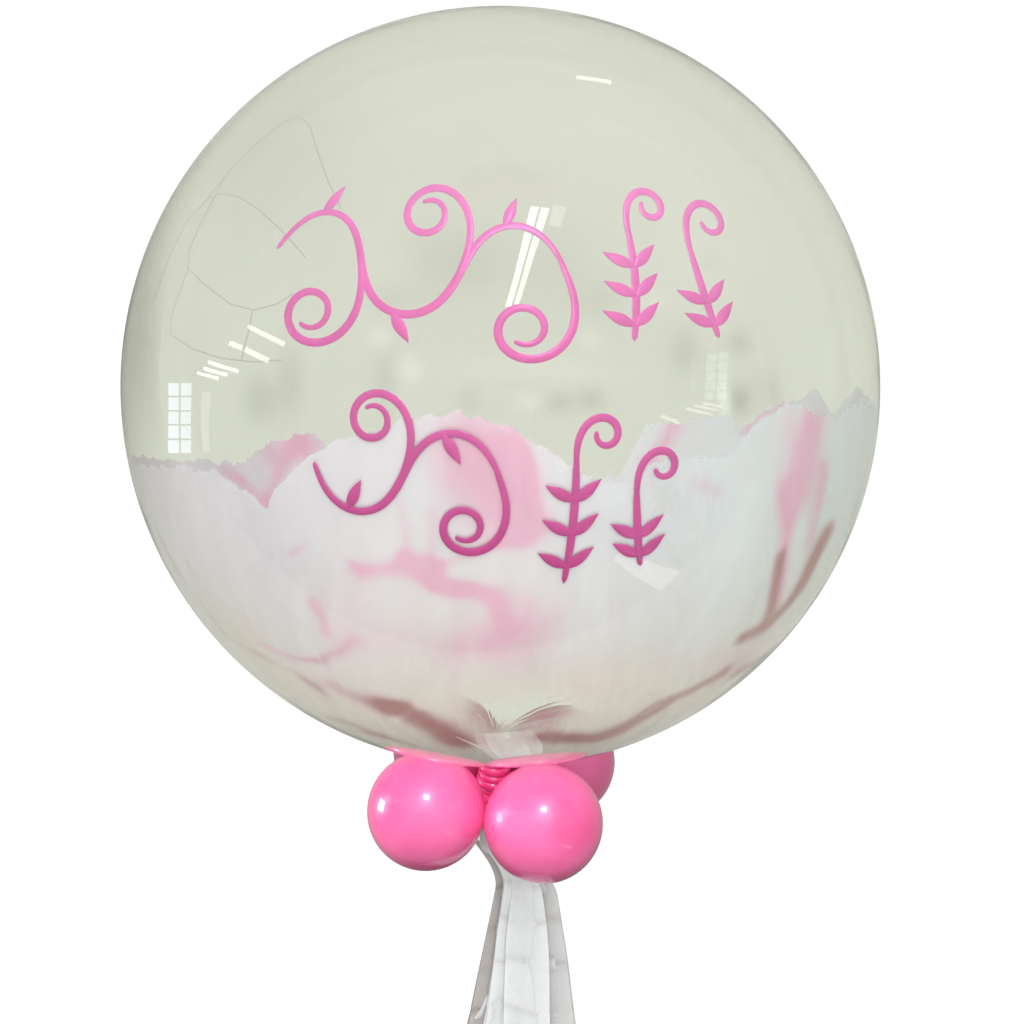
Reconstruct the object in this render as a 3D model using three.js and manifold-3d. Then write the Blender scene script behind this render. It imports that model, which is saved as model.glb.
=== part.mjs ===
// A clear bubble balloon with a collar of four small latex balloons and a tissue tassel.
// Units are millimetres, +Z is up. The balloon lies on a flat spot of its film and on the
// two lower collar balloons, with its decorated face up. The origin is the middle of the
// film's flat spot, on the surface it lies on; +Y runs from the tassel to the bubble.

import * as THREE from 'three';
import { mergeVertices } from 'three/addons/utils/BufferGeometryUtils.js';
import Module from 'manifold-3d';

const wasm = await Module();
wasm.setup();

// Driving dimensions

const TOUCH_GAP = 0.3;            // between pieces that touch

const BUBBLE_RADIUS = 280;        // the film, blown to its full round
const REST_SPOT_RADIUS = 40;      // the film's flat spot under the bubble
const FUNNEL_MOUTH = 58;          // radius where the film starts to draw into the neck
const FUNNEL_LENGTH = 22;         // from the round of the film to the tie
const NECK_RADIUS = 5;            // film gathered at the tie
const TAIL_RADIUS = 6.2;          // gathered film below the tie
const TAIL_LENGTH = 104;          // from the tie to the flat-cut end
const PLEATS = 10;                // folds that run into the neck
const PLEAT_DEPTH = 1.6;
const PLEAT_REACH = 130;          // radius from the axis where the folds die out

const SMALL_RADIUS = 48;          // one latex balloon of the collar
const SMALL_SPOT_RADIUS = 14;     // its flat spot, on the two that touch the ground
const COLLAR_CLEARANCE = 24;      // from the film down to the latex balloons
const LATEX_NECK_RADIUS = 3.2;
const LATEX_NECK_LENGTH = 9;      // from the round of the latex to its knot
const KNOT_RADIUS = 4.8;
const KNOT_LENGTH = 8;
const LATEX_NECK_DIP = 25;        // degrees that the necks point away from the bubble
const LATEX_TAIL_RADIUS = 2;      // latex beyond the knot
const LATEX_TAIL_REACH = 20;      // how far it sticks out between two balloons
const RIM_RADIUS = 3.1;           // rolled rim at its end

const TASSEL_SET_BACK = 2;        // from the knots of the collar to the tassel's head
const TASSEL_HEAD_RADIUS = 12;    // twisted tissue tied round the film's tail
const TASSEL_HEAD_LENGTH = 10;    // between the head's round ends
const TASSEL_LENGTH = 300;        // of the fringe
const TASSEL_TOP_WIDTH = 38;
const TASSEL_END_WIDTH = 116;
const TASSEL_FALL = 120;          // how far out the fringe reaches the ground
const TASSEL_SWAY = 28;           // how far it lies to one side
const TASSEL_SWAY_LENGTH = 40;    // how soon along the fringe it has got there
const TASSEL_TOP_THICKNESS = 20;
const TASSEL_END_THICKNESS = 7;
const FRINGE_STRIPS = 8;
const FRINGE_SLIT = 4;            // width of the open end of a slit
const FRINGE_SLIT_LENGTH = 175;
const FRINGE_RAGGEDNESS = 12;
const FLUTE_DEPTH = 2.2;
const STRAY_STRIP_WIDTH = 9;      // one strip that has slipped out sideways
const STRAY_STRIP_REACH = 36;
const STRAY_STRIP_LENGTH = 258;
const TISSUE_THICKNESS = 2;       // a few layers of tissue lying together

const FACE_TURN = 9;              // degrees from the top of the lying bubble to its written face
const VINYL_THICKNESS = 0.5;
const VINYL_CLEARANCE = 0.5;      // from the round of the film to the vinyl
const STROKE_WIDTH = 5;
const LEAF_LENGTH = 21;
const LEAF_WIDTH = 7;
const LEAF_BEND = 25;             // degrees that a leaf would turn if it kept its first bend
const LEAF_HEADING = 62;          // degrees from the row, on a running scroll
const SPRIG_LEAF_HEADING = 35;
const UPPER_ROW_LENGTH = 300;
const LOWER_ROW_LENGTH = 230;
const UPPER_ROW_LATITUDE = 34.5;  // degrees above the bubble's middle
const LOWER_ROW_LATITUDE = 6;

// Facets

const BUBBLE_SECTORS = 40;
const BUBBLE_RINGS = 21;
const SMALL_SECTORS = 18;
const SMALL_RINGS = 9;
const NECK_RINGS = 4;
const TUBE_SECTORS = 6;
const CURL_POINTS = 14;
const SWING_POINTS = 7;
const STALK_POINTS = 8;
const LEAF_POINTS = 4;
const FRINGE_RINGS = 10;

// Places worked out from the driving dimensions

const radians = THREE.MathUtils.degToRad;
const smallOffset = SMALL_RADIUS + TOUCH_GAP / 2;
const collarRing = smallOffset * Math.SQRT2;
const collarDrop = Math.sqrt(
  (BUBBLE_RADIUS + SMALL_RADIUS + COLLAR_CLEARANCE) ** 2 - collarRing ** 2);
const restHeight = Math.sqrt(BUBBLE_RADIUS ** 2 - REST_SPOT_RADIUS ** 2);
const smallRestHeight = Math.sqrt(SMALL_RADIUS ** 2 - SMALL_SPOT_RADIUS ** 2);

// The axis rises from the collar to the bubble by the angle at which the film's flat spot
// and the flat spots of the two lower latex balloons lie in one plane.
const axisRise = Math.asin((restHeight - smallRestHeight) / Math.hypot(collarDrop, smallOffset))
  - Math.atan2(smallOffset, collarDrop);
const latexDip = radians(LATEX_NECK_DIP);
const knotDistance = SMALL_RADIUS + LATEX_NECK_LENGTH + KNOT_LENGTH / 2;
const knotRing = collarRing - knotDistance * Math.cos(latexDip);
const knotDrop = knotDistance * Math.sin(latexDip);
const tieDrop = BUBBLE_RADIUS + FUNNEL_LENGTH;
const headDrop = collarDrop + knotDrop + KNOT_RADIUS + TASSEL_SET_BACK
  + TASSEL_HEAD_RADIUS + TASSEL_HEAD_LENGTH / 2;

// Materials

const film = new THREE.MeshStandardMaterial({
  color: 0xe4e8dc, roughness: 0.05, metalness: 0, transparent: true, opacity: 0.3 });
const latex = new THREE.MeshStandardMaterial({ color: 0xf0609c, roughness: 0.25, metalness: 0 });
const tissue = new THREE.MeshStandardMaterial({ color: 0xf2f1ec, roughness: 0.9, metalness: 0 });
const vinyl = new THREE.MeshStandardMaterial({ color: 0xf07cc0, roughness: 0.3, metalness: 0.2 });

// Solids

function toSolid(geometry) {
  const bare = geometry.clone();
  bare.deleteAttribute('normal');
  bare.deleteAttribute('uv');
  const merged = mergeVertices(bare, 1e-4);
  return new wasm.Manifold(new wasm.Mesh({
    numProp: 3,
    vertProperties: new Float32Array(merged.attributes.position.array),
    triVerts: new Uint32Array(merged.index.array),
  }));
}

function toGeometry(solid) {
  const mesh = solid.getMesh();
  const geometry = new THREE.BufferGeometry();
  geometry.setAttribute('position', new THREE.BufferAttribute(mesh.vertProperties, 3));
  geometry.setIndex(new THREE.BufferAttribute(mesh.triVerts, 1));
  return geometry;
}

function joined(geometries) {
  return geometries.map(toSolid).reduce((whole, next) => whole.add(next));
}

// A round solid about Z from a profile of [radius, height] pairs, listed from the top down,
// that starts and ends on the axis.
function turned(profile, sectors) {
  const flat = profile.map(([radius, height]) => new THREE.Vector2(radius, height)).reverse();
  return new THREE.LatheGeometry(flat, sectors).rotateX(Math.PI / 2);
}

// Moves every vertex of a geometry by a function that takes and changes a Vector3.
function reshaped(geometry, move) {
  const points = geometry.attributes.position;
  const point = new THREE.Vector3();
  for (let i = 0; i < points.count; i += 1) {
    point.fromBufferAttribute(points, i);
    move(point);
    points.setXYZ(i, point.x, point.y, point.z);
  }
  return geometry;
}

// Cuts a mesh flat at the ground, Z = 0 of the whole part.
function restedOnGround(mesh) {
  mesh.updateWorldMatrix(true, false);
  const reach = 4 * BUBBLE_RADIUS;
  const below = new THREE.BoxGeometry(reach, reach, reach)
    .translate(0, 0, -reach / 2)
    .applyMatrix4(mesh.matrixWorld.clone().invert());
  mesh.geometry = toGeometry(toSolid(mesh.geometry).subtract(toSolid(below)));
  return mesh;
}

function named(name, geometry, material) {
  const mesh = new THREE.Mesh(geometry, material);
  mesh.name = name;
  return mesh;
}

// Points of an arc about a centre on the axis, from one angle to another in degrees, where
// 90 is the top, as [radius, height] pairs.
function arcPoints(radius, from, to, steps) {
  const points = [];
  for (let i = 0; i <= steps; i += 1) {
    const angle = radians(from + ((to - from) * i) / steps);
    points.push([radius * Math.cos(angle), radius * Math.sin(angle)]);
  }
  return points;
}

function bezierPoints(start, control, end, steps) {
  const curve = new THREE.QuadraticBezierCurve(
    new THREE.Vector2(...start), new THREE.Vector2(...control), new THREE.Vector2(...end));
  return curve.getPoints(steps).map((point) => [point.x, point.y]);
}

// The bubble: a round film drawn into a pleated funnel, a gathered neck and a tail.

function bubbleGeometry() {
  const mouthAngle = -THREE.MathUtils.radToDeg(Math.acos(FUNNEL_MOUTH / BUBBLE_RADIUS));
  const mouthDrop = Math.sqrt(BUBBLE_RADIUS ** 2 - FUNNEL_MOUTH ** 2);
  const tangentDrop = mouthDrop + ((FUNNEL_MOUTH - NECK_RADIUS) * FUNNEL_MOUTH) / mouthDrop;
  const profile = [
    [0, BUBBLE_RADIUS],
    ...arcPoints(BUBBLE_RADIUS, 90, mouthAngle, BUBBLE_RINGS).slice(1, -1),
    ...bezierPoints([FUNNEL_MOUTH, -mouthDrop], [NECK_RADIUS, -tangentDrop],
      [NECK_RADIUS, -tieDrop], NECK_RINGS),
    [TAIL_RADIUS, -tieDrop - TAIL_RADIUS],
    [TAIL_RADIUS, -tieDrop - TAIL_LENGTH],
    [0, -tieDrop - TAIL_LENGTH],
  ];
  // The film sinks in between the pleats along its own inward direction, which near the neck
  // turns from up to sideways; the depth grows from nothing at the reach to full at the mouth.
  return reshaped(turned(profile, BUBBLE_SECTORS), (point) => {
    const radius = Math.hypot(point.x, point.y);
    if (point.z > 0 || radius > PLEAT_REACH || radius < NECK_RADIUS / 2) {
      return;
    }
    const grown = Math.min(1, (PLEAT_REACH - radius) / (PLEAT_REACH - FUNNEL_MOUTH));
    const fold = (Math.cos(PLEATS * Math.atan2(point.y, point.x)) - 1) / 2;
    const height = Math.min(2 * PLEAT_DEPTH * grown, radius / 4) * fold;
    const sideways = point.z < -BUBBLE_RADIUS ? 1 : radius / BUBBLE_RADIUS;
    const outward = 1 + (height * sideways) / radius;
    point.x *= outward;
    point.y *= outward;
    point.z -= height * (1 - sideways);
  });
}

// One latex balloon, centred on its round, with its neck along +Z and the tail of latex
// beyond the knot bent towards the gap beside its neighbour.

function latexBody() {
  const neckAngle = -THREE.MathUtils.radToDeg(Math.acos((3 * LATEX_NECK_RADIUS) / SMALL_RADIUS));
  const shoulder = arcPoints(SMALL_RADIUS, 90, neckAngle, SMALL_RINGS);
  const [shoulderRadius, shoulderHeight] = shoulder.at(-1);
  const neckEnd = -SMALL_RADIUS - LATEX_NECK_LENGTH;
  const profile = [
    [0, SMALL_RADIUS],
    ...shoulder.slice(1, -1),
    ...bezierPoints([shoulderRadius, shoulderHeight], [LATEX_NECK_RADIUS, -SMALL_RADIUS],
      [LATEX_NECK_RADIUS, neckEnd], NECK_RINGS - 1),
    [KNOT_RADIUS, neckEnd - KNOT_LENGTH * 0.3],
    [KNOT_RADIUS, neckEnd - KNOT_LENGTH * 0.7],
    [LATEX_NECK_RADIUS, neckEnd - KNOT_LENGTH],
    [0, neckEnd - KNOT_LENGTH],
  ];
  return turned(profile, SMALL_SECTORS).rotateX(Math.PI);
}

function latexTail() {
  const knot = new THREE.Vector3(knotRing, 0, -knotDrop);
  const gap = new THREE.Vector3(1, 1, 0).normalize();
  const end = gap.clone().multiplyScalar(knotRing + LATEX_TAIL_REACH).setZ(-knotDrop + KNOT_RADIUS);
  const bend = gap.clone().multiplyScalar(knotRing + LATEX_TAIL_REACH / 3).setZ(-knotDrop - 1);
  const path = new THREE.CatmullRomCurve3([knot, bend, end]);
  const section = new THREE.Shape().absarc(0, 0, LATEX_TAIL_RADIUS, 0, 2 * Math.PI);
  const tube = new THREE.ExtrudeGeometry(section, {
    extrudePath: path, steps: 5, curveSegments: TUBE_SECTORS, bevelEnabled: false });
  const rim = new THREE.SphereGeometry(RIM_RADIUS, TUBE_SECTORS, 5).translate(end.x, end.y, end.z);
  return [tube, rim];
}

function latexBalloonGeometry() {
  const body = latexBody()
    .rotateY(-Math.PI / 2 - latexDip)
    .translate(collarRing, 0, 0);
  return toGeometry(joined([body, ...latexTail()]));
}

function collar() {
  const group = new THREE.Group();
  const names = ['back_right', 'back_left', 'front_left', 'front_right'];
  names.forEach((name, quarter) => {
    const balloon = named(`collar_balloon_${name}`, latexBalloonGeometry(), latex);
    balloon.rotation.z = Math.PI / 4 + (quarter * Math.PI) / 2;
    group.add(balloon);
  });
  group.position.z = -collarDrop;
  return group;
}

// Cut vinyl: flat strokes of one thickness, laid out in millimetres along and up a row, and
// then bent onto the film.

// A band along a centre line, with a width for each share of its length.
function band(centreLine, widthAt) {
  const steps = centreLine.length - 1;
  const flat = new THREE.BoxGeometry(1, 1, VINYL_THICKNESS, steps, 1, 1);
  return reshaped(flat, (point) => {
    const index = Math.round((point.x + 0.5) * steps);
    const here = centreLine[index];
    const before = centreLine[Math.max(index - 1, 0)];
    const after = centreLine[Math.min(index + 1, steps)];
    const along = new THREE.Vector2().subVectors(after, before).normalize();
    const aside = point.y * widthAt(index / steps);
    point.x = here.x - along.y * aside;
    point.y = here.y + along.x * aside;
  });
}

const strokeWidth = (share) => STROKE_WIDTH * (0.45 + 0.55 * Math.sqrt(Math.sin(Math.PI * share)));
const leafWidth = (share) => Math.max(0.5, LEAF_WIDTH * Math.sin(Math.PI * share ** 0.8));

// A pen line that starts at a point with a heading in degrees. Its bend goes evenly from one
// value to another, both in degrees over its whole length. An ease below 1 sets the points
// closer together towards the end, where a curl is tightest.
function penLine(start, heading, length, bendFrom, bendTo, steps, ease = 1) {
  const points = [start.clone()];
  for (let i = 0; i < steps; i += 1) {
    const from = (i / steps) ** ease;
    const to = ((i + 1) / steps) ** ease;
    const middle = (from + to) / 2;
    const angle = radians(heading + bendFrom * middle + ((bendTo - bendFrom) * middle ** 2) / 2);
    const halfTurn = radians((bendFrom + (bendTo - bendFrom) * middle) * (to - from)) / 2;
    const chord = length * (to - from) * (halfTurn === 0 ? 1 : Math.sin(halfTurn) / halfTurn);
    const last = points.at(-1);
    points.push(new THREE.Vector2(
      last.x + chord * Math.cos(angle), last.y + chord * Math.sin(angle)));
  }
  return points;
}

const bentLeaf = (start, heading) => band(
  penLine(start, heading, LEAF_LENGTH, LEAF_BEND, -LEAF_BEND, LEAF_POINTS), leafWidth);

// A curl that starts straight and winds itself up by a number of degrees.
const curl = (root, heading, length, turn) => band(
  penLine(root, heading, length, 0, 2 * turn, CURL_POINTS, 0.6), strokeWidth);

// A running scroll: a stem that swings up and down, a curl that goes on from each swing,
// and a leaf on the outside of each bend. A negative swing starts downwards.
function runningScroll({ start, swings, swingLength, swing, curlLength, curlTurn }) {
  const pieces = [];
  const stem = [start.clone()];
  const stride = swingLength / SWING_POINTS;
  for (let i = 0; i < swings * SWING_POINTS; i += 1) {
    const angle = radians(swing) * Math.cos((Math.PI * (i + 0.5)) / SWING_POINTS);
    const last = stem.at(-1);
    stem.push(new THREE.Vector2(
      last.x + stride * Math.cos(angle), last.y + stride * Math.sin(angle)));
  }
  pieces.push(band(stem, strokeWidth));
  const middle = Math.floor(SWING_POINTS / 2);
  for (let k = 1; k <= swings; k += 1) {
    const side = k % 2 === 0 ? -1 : 1;
    pieces.push(curl(stem[k * SWING_POINTS - 1], -side * swing, curlLength, -side * curlTurn));
    pieces.push(bentLeaf(stem[(k - 1) * SWING_POINTS + middle], side * LEAF_HEADING));
  }
  return pieces;
}

// A sprig: an upright stem with pairs of leaves and a curl at its top.
function sprig({ start, height, pairs, lean, curlLength, curlTurn }) {
  const stem = penLine(start, 90 - lean, height, lean, lean, STALK_POINTS);
  const pieces = [band(stem, strokeWidth)];
  for (let k = 0; k < pairs; k += 1) {
    const root = stem[1 + 2 * k];
    pieces.push(bentLeaf(root, SPRIG_LEAF_HEADING), bentLeaf(root, 180 - SPRIG_LEAF_HEADING));
  }
  pieces.push(curl(stem.at(-2), 90, curlLength, -curlTurn));
  return pieces;
}

// Bends flat vinyl onto the film about a latitude in degrees.
function onFilm(pieces, latitude) {
  const middle = radians(latitude);
  const face = BUBBLE_RADIUS + VINYL_CLEARANCE + VINYL_THICKNESS / 2;
  return reshaped(toGeometry(joined(pieces)), (point) => {
    const east = point.x / (BUBBLE_RADIUS * Math.cos(middle));
    const north = middle + point.y / BUBBLE_RADIUS;
    const radius = face + point.z;
    point.set(
      radius * Math.cos(north) * Math.sin(east),
      -radius * Math.cos(north) * Math.cos(east),
      radius * Math.sin(north));
  });
}

// Places and lengths in the two rows are shares of the row's own length.
const SIZED_BY_ROW = new Set(['swingLength', 'curlLength', 'height']);

function writtenFace() {
  const group = new THREE.Group();
  const addRow = (row, length, latitude, pieces) => {
    Object.entries(pieces).forEach(([name, { draw, at, ...form }]) => {
      const sized = Object.fromEntries(Object.entries(form).map(([key, value]) => [
        key, SIZED_BY_ROW.has(key) ? value * length : value]));
      const start = new THREE.Vector2(...at).multiplyScalar(length);
      const geometry = onFilm(draw({ start, ...sized }), latitude);
      group.add(named(`${row}_scroll_${name}`, geometry, vinyl));
    });
  };
  addRow('upper', UPPER_ROW_LENGTH, UPPER_ROW_LATITUDE, {
    long: { draw: runningScroll, at: [-0.487, -0.02], swings: 3, swing: 68,
      swingLength: 0.3, curlLength: 0.56, curlTurn: 512 },
    sprig: { draw: sprig, at: [0.24, -0.167], pairs: 3, lean: 12,
      height: 0.24, curlLength: 0.28, curlTurn: 403 },
    curl: { draw: sprig, at: [0.413, -0.18], pairs: 2, lean: -10,
      height: 0.193, curlLength: 0.3, curlTurn: 369 },
  });
  addRow('lower', LOWER_ROW_LENGTH, LOWER_ROW_LATITUDE, {
    long: { draw: runningScroll, at: [-0.504, 0.043], swings: 2, swing: -66,
      swingLength: 0.365, curlLength: 0.652, curlTurn: -518 },
    sprig: { draw: sprig, at: [0.174, -0.252], pairs: 3, lean: 8,
      height: 0.374, curlLength: 0.33, curlTurn: 388 },
    curl: { draw: sprig, at: [0.383, -0.217], pairs: 2, lean: -10,
      height: 0.226, curlLength: 0.304, curlTurn: 357 },
  });
  group.rotation.z = radians(FACE_TURN);
  return group;
}

// The tassel: tissue rolled and twisted round the film's tail, whose fringe droops to the
// ground and lies there as a fan of strips. It is drawn in the part's own axes.

const tasselHead = new THREE.Vector3(
  0,
  -headDrop * Math.cos(axisRise),
  restHeight - headDrop * Math.sin(axisRise));
const tailDirection = new THREE.Vector3(0, -Math.cos(axisRise), -Math.sin(axisRise));

// How far the fringe has swayed sideways, for a distance along it.
const sway = (distance) => TASSEL_SWAY
  * Math.sin((Math.PI / 2) * Math.min(1, distance / TASSEL_SWAY_LENGTH));

// How wide the fringe has spread, for a share of its length.
function fringeWidth(share) {
  const spread = Math.sin((Math.PI / 2) * Math.min(1, share));
  return TASSEL_TOP_WIDTH + (TASSEL_END_WIDTH - TASSEL_TOP_WIDTH) * spread;
}

// Height of the fringe's underside at a distance out from the head: a cubic that leaves
// along the film's tail and meets the ground level.
function undersideHeight(distance, startHeight) {
  const share = Math.min(1, distance / TASSEL_FALL);
  const slope = -Math.tan(axisRise) * TASSEL_FALL;
  const fall = 2 * share ** 3 - 3 * share ** 2 + 1;
  const lead = share ** 3 - 2 * share ** 2 + share;
  return Math.max(0, startHeight * fall + slope * lead);
}

// The fringe as one fan: crowned near the head, fluted across into strips, flat at its end,
// with strips that end at uneven lengths.
function fringeGeometry() {
  const across = 2 * FRINGE_STRIPS;
  const lift = TASSEL_TOP_THICKNESS / 2;
  const flat = new THREE.BoxGeometry(1, 1, 1, across, FRINGE_RINGS, 1);
  return reshaped(flat, (point) => {
    const share = 0.5 - point.y;
    const strip = Math.round((point.x + 0.5) * across);
    const ragged = share < 1 ? 0 : FRINGE_RAGGEDNESS * Math.sin(2.1 * strip);
    const distance = TASSEL_HEAD_LENGTH / 2 + share * TASSEL_LENGTH + ragged;
    const flatness = Math.sin((Math.PI / 2) * share);
    const crown = Math.sqrt(1 - Math.min(1, (1.9 * point.x) ** 2));
    const thick = TASSEL_END_THICKNESS
      + (TASSEL_TOP_THICKNESS - TASSEL_END_THICKNESS) * (1 - flatness) * crown;
    const flute = strip % 2 === 0 ? -FLUTE_DEPTH : 0;
    const under = undersideHeight(distance, tasselHead.z - lift);
    const top = point.z > 0;
    point.x = point.x * fringeWidth(share) + sway(share * TASSEL_LENGTH);
    point.z = top ? under + thick + flute : under;
    point.y = tasselHead.y - distance;
  });
}

// Thin wedges, widest at the fringe's end, that part it into strips.
function slitWedges() {
  const wedges = [];
  const rootShare = 1 - FRINGE_SLIT_LENGTH / TASSEL_LENGTH;
  const rootY = tasselHead.y - TASSEL_HEAD_LENGTH / 2 - rootShare * TASSEL_LENGTH;
  const tipY = rootY - FRINGE_SLIT_LENGTH - 2 * FRINGE_RAGGEDNESS;
  for (let k = 1; k < FRINGE_STRIPS; k += 1) {
    const place = k / FRINGE_STRIPS - 0.5;
    const root = place * fringeWidth(rootShare) + sway(rootShare * TASSEL_LENGTH);
    const tip = place * fringeWidth(1) + sway(TASSEL_LENGTH);
    const outline = new THREE.Shape([
      new THREE.Vector2(root, rootY),
      new THREE.Vector2(tip - FRINGE_SLIT / 2, tipY),
      new THREE.Vector2(tip + FRINGE_SLIT / 2, tipY),
    ]);
    const height = 2 * tasselHead.z;
    wedges.push(new THREE.ExtrudeGeometry(outline, { depth: height, bevelEnabled: false })
      .translate(0, 0, -height / 2));
  }
  return wedges;
}

// One strip that has slipped sideways and lies apart at the end.
function strayStrip() {
  const flat = new THREE.BoxGeometry(STRAY_STRIP_WIDTH, 1, TISSUE_THICKNESS, 1, FRINGE_RINGS, 1);
  return reshaped(flat, (point) => {
    const share = 0.5 - point.y;
    const distance = TASSEL_HEAD_LENGTH / 2 + share * STRAY_STRIP_LENGTH;
    const sideways = (TASSEL_END_WIDTH / 2 + STRAY_STRIP_REACH) * share ** 1.6;
    const above = point.z > 0 ? TISSUE_THICKNESS : 0;
    point.x += sway(share * STRAY_STRIP_LENGTH) - sideways;
    point.y = tasselHead.y - distance;
    point.z = undersideHeight(distance, tasselHead.z) + above;
  });
}

function tasselGeometry() {
  const head = new THREE.CapsuleGeometry(TASSEL_HEAD_RADIUS, TASSEL_HEAD_LENGTH, 2, 12);
  head.applyQuaternion(new THREE.Quaternion().setFromUnitVectors(
    new THREE.Vector3(0, 1, 0), tailDirection));
  head.translate(...tasselHead.toArray());
  const tail = new THREE.CylinderGeometry(
    TAIL_RADIUS + TOUCH_GAP, TAIL_RADIUS + TOUCH_GAP, 2 * TAIL_LENGTH, BUBBLE_SECTORS / 2);
  tail.applyQuaternion(new THREE.Quaternion().setFromUnitVectors(
    new THREE.Vector3(0, 1, 0), tailDirection));
  const tie = tailDirection.clone().multiplyScalar(tieDrop + TOUCH_GAP);
  tail.translate(tie.x, tie.y, tie.z + restHeight);
  const fringe = joined([fringeGeometry()]).subtract(joined(slitWedges()));
  const whole = fringe.add(toSolid(head)).add(toSolid(strayStrip())).subtract(toSolid(tail));
  return toGeometry(whole);
}

// The whole, laid down on the ground.

const balloon = new THREE.Group();
const bubble = named('clear_bubble', bubbleGeometry(), film);
const collarGroup = collar();
balloon.add(bubble, collarGroup, writtenFace());
balloon.position.z = restHeight;
balloon.rotation.x = axisRise - Math.PI / 2;

restedOnGround(bubble);
collarGroup.children.forEach(restedOnGround);

const part = new THREE.Group();
part.add(balloon, named('tissue_tassel', tasselGeometry(), tissue));

export default part;
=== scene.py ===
"""A clear bubble balloon with marbled paint inside it, a collar of four small latex balloons
and a tassel of tissue paper. It lies on the ground with its decorated face up. Metres, +Z up.

Each piece is worked out upright first, with the balloon's axis along Z, its decorated face
towards -Y and the middle of the bubble at the origin, and is then laid down as a whole."""

import bpy
import numpy as np
from mathutils import Matrix


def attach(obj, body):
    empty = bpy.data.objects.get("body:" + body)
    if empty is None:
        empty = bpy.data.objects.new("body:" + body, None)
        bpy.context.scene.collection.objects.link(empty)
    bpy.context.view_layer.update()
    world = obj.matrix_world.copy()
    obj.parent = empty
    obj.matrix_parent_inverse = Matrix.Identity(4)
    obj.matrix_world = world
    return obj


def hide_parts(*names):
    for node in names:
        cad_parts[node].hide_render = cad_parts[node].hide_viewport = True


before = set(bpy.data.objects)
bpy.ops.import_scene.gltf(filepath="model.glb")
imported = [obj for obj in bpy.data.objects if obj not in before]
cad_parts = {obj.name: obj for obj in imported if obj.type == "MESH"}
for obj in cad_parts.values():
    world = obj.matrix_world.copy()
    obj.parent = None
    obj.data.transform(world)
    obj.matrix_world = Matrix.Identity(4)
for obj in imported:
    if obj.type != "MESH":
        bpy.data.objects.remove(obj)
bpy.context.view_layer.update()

# Driving dimensions. They repeat the part's own, apart from the thin walls of film, paint and
# paper, the finer folds and the coil of latex, which only the scene has.

# The film and the paint inside it
BUBBLE_RADIUS = 0.280
REST_SPOT_RADIUS = 0.040
FUNNEL_MOUTH = 0.058
FUNNEL_LENGTH = 0.022
NECK_RADIUS = 0.005
TAIL_RADIUS = 0.0062
TAIL_LENGTH = 0.104
PLEATS = 10
FINE_PLEATS = 23
PLEAT_DEPTH = 0.0016
PLEAT_REACH = 0.130
FILM_THICKNESS = 0.0003
PAINT_INSET = 0.0009
PAINT_THICKNESS = 0.0003

# The small balloons of the collar
SMALL_RADIUS = 0.048
SMALL_SPOT_RADIUS = 0.014
TOUCH_GAP = 0.0003
COLLAR_CLEARANCE = 0.024
LATEX_NECK_RADIUS = 0.0032
LATEX_NECK_LENGTH = 0.009
KNOT_RADIUS = 0.0048
KNOT_LENGTH = 0.008
LATEX_NECK_DIP = np.radians(25)
LATEX_TAIL_RADIUS = 0.002
LATEX_TAIL_REACH = 0.020
RIM_RADIUS = 0.0031
WRAP_RADIUS = 0.0046
WRAP_PITCH = 0.0068
WRAP_START = 0.006  # below the film's tie
WRAP_END = 0.016  # below the middle of the collar

# The tassel
TASSEL_SET_BACK = 0.002
TASSEL_HEAD_RADIUS = 0.012
TASSEL_HEAD_LENGTH = 0.010
TASSEL_LENGTH = 0.300
TASSEL_TOP_WIDTH = 0.038
TASSEL_END_WIDTH = 0.116
TASSEL_FALL = 0.120
TASSEL_SWAY = 0.028
TASSEL_SWAY_LENGTH = 0.040
TASSEL_TOP_THICKNESS = 0.020
TASSEL_END_THICKNESS = 0.007
STRAY_STRIP_REACH = 0.036
STRAY_STRIP_LENGTH = 0.258
PAPER_THICKNESS = 0.0003

# The cut vinyl
FACE_TURN = np.radians(9)
VINYL_THICKNESS = 0.0005
VINYL_CLEARANCE = 0.0005
STROKE_WIDTH = 0.005
LEAF_LENGTH = 0.021
LEAF_WIDTH = 0.007
LEAF_BEND = 25
LEAF_HEADING = 62
SPRIG_LEAF_HEADING = 35
UPPER_ROW_LENGTH = 0.300
LOWER_ROW_LENGTH = 0.230
UPPER_ROW_LATITUDE = np.radians(34.5)
LOWER_ROW_LATITUDE = np.radians(6)

# Places worked out from them

small_offset = SMALL_RADIUS + TOUCH_GAP / 2
collar_ring = small_offset * np.sqrt(2)
collar_reach = BUBBLE_RADIUS + SMALL_RADIUS + COLLAR_CLEARANCE
collar_drop = np.sqrt(collar_reach**2 - collar_ring**2)
rest_height = np.sqrt(BUBBLE_RADIUS**2 - REST_SPOT_RADIUS**2)
small_rest_height = np.sqrt(SMALL_RADIUS**2 - SMALL_SPOT_RADIUS**2)
axis_rise = np.arcsin((rest_height - small_rest_height) / np.hypot(collar_drop, small_offset))
axis_rise -= np.arctan2(small_offset, collar_drop)
knot_distance = SMALL_RADIUS + LATEX_NECK_LENGTH + KNOT_LENGTH / 2
knot_ring = collar_ring - knot_distance * np.cos(LATEX_NECK_DIP)
knot_drop = knot_distance * np.sin(LATEX_NECK_DIP)
tie_drop = BUBBLE_RADIUS + FUNNEL_LENGTH
head_drop = collar_drop + knot_drop + KNOT_RADIUS + TASSEL_SET_BACK
head_drop += TASSEL_HEAD_RADIUS + TASSEL_HEAD_LENGTH / 2
bubble_middle = np.array([0, 0, rest_height])


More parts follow.
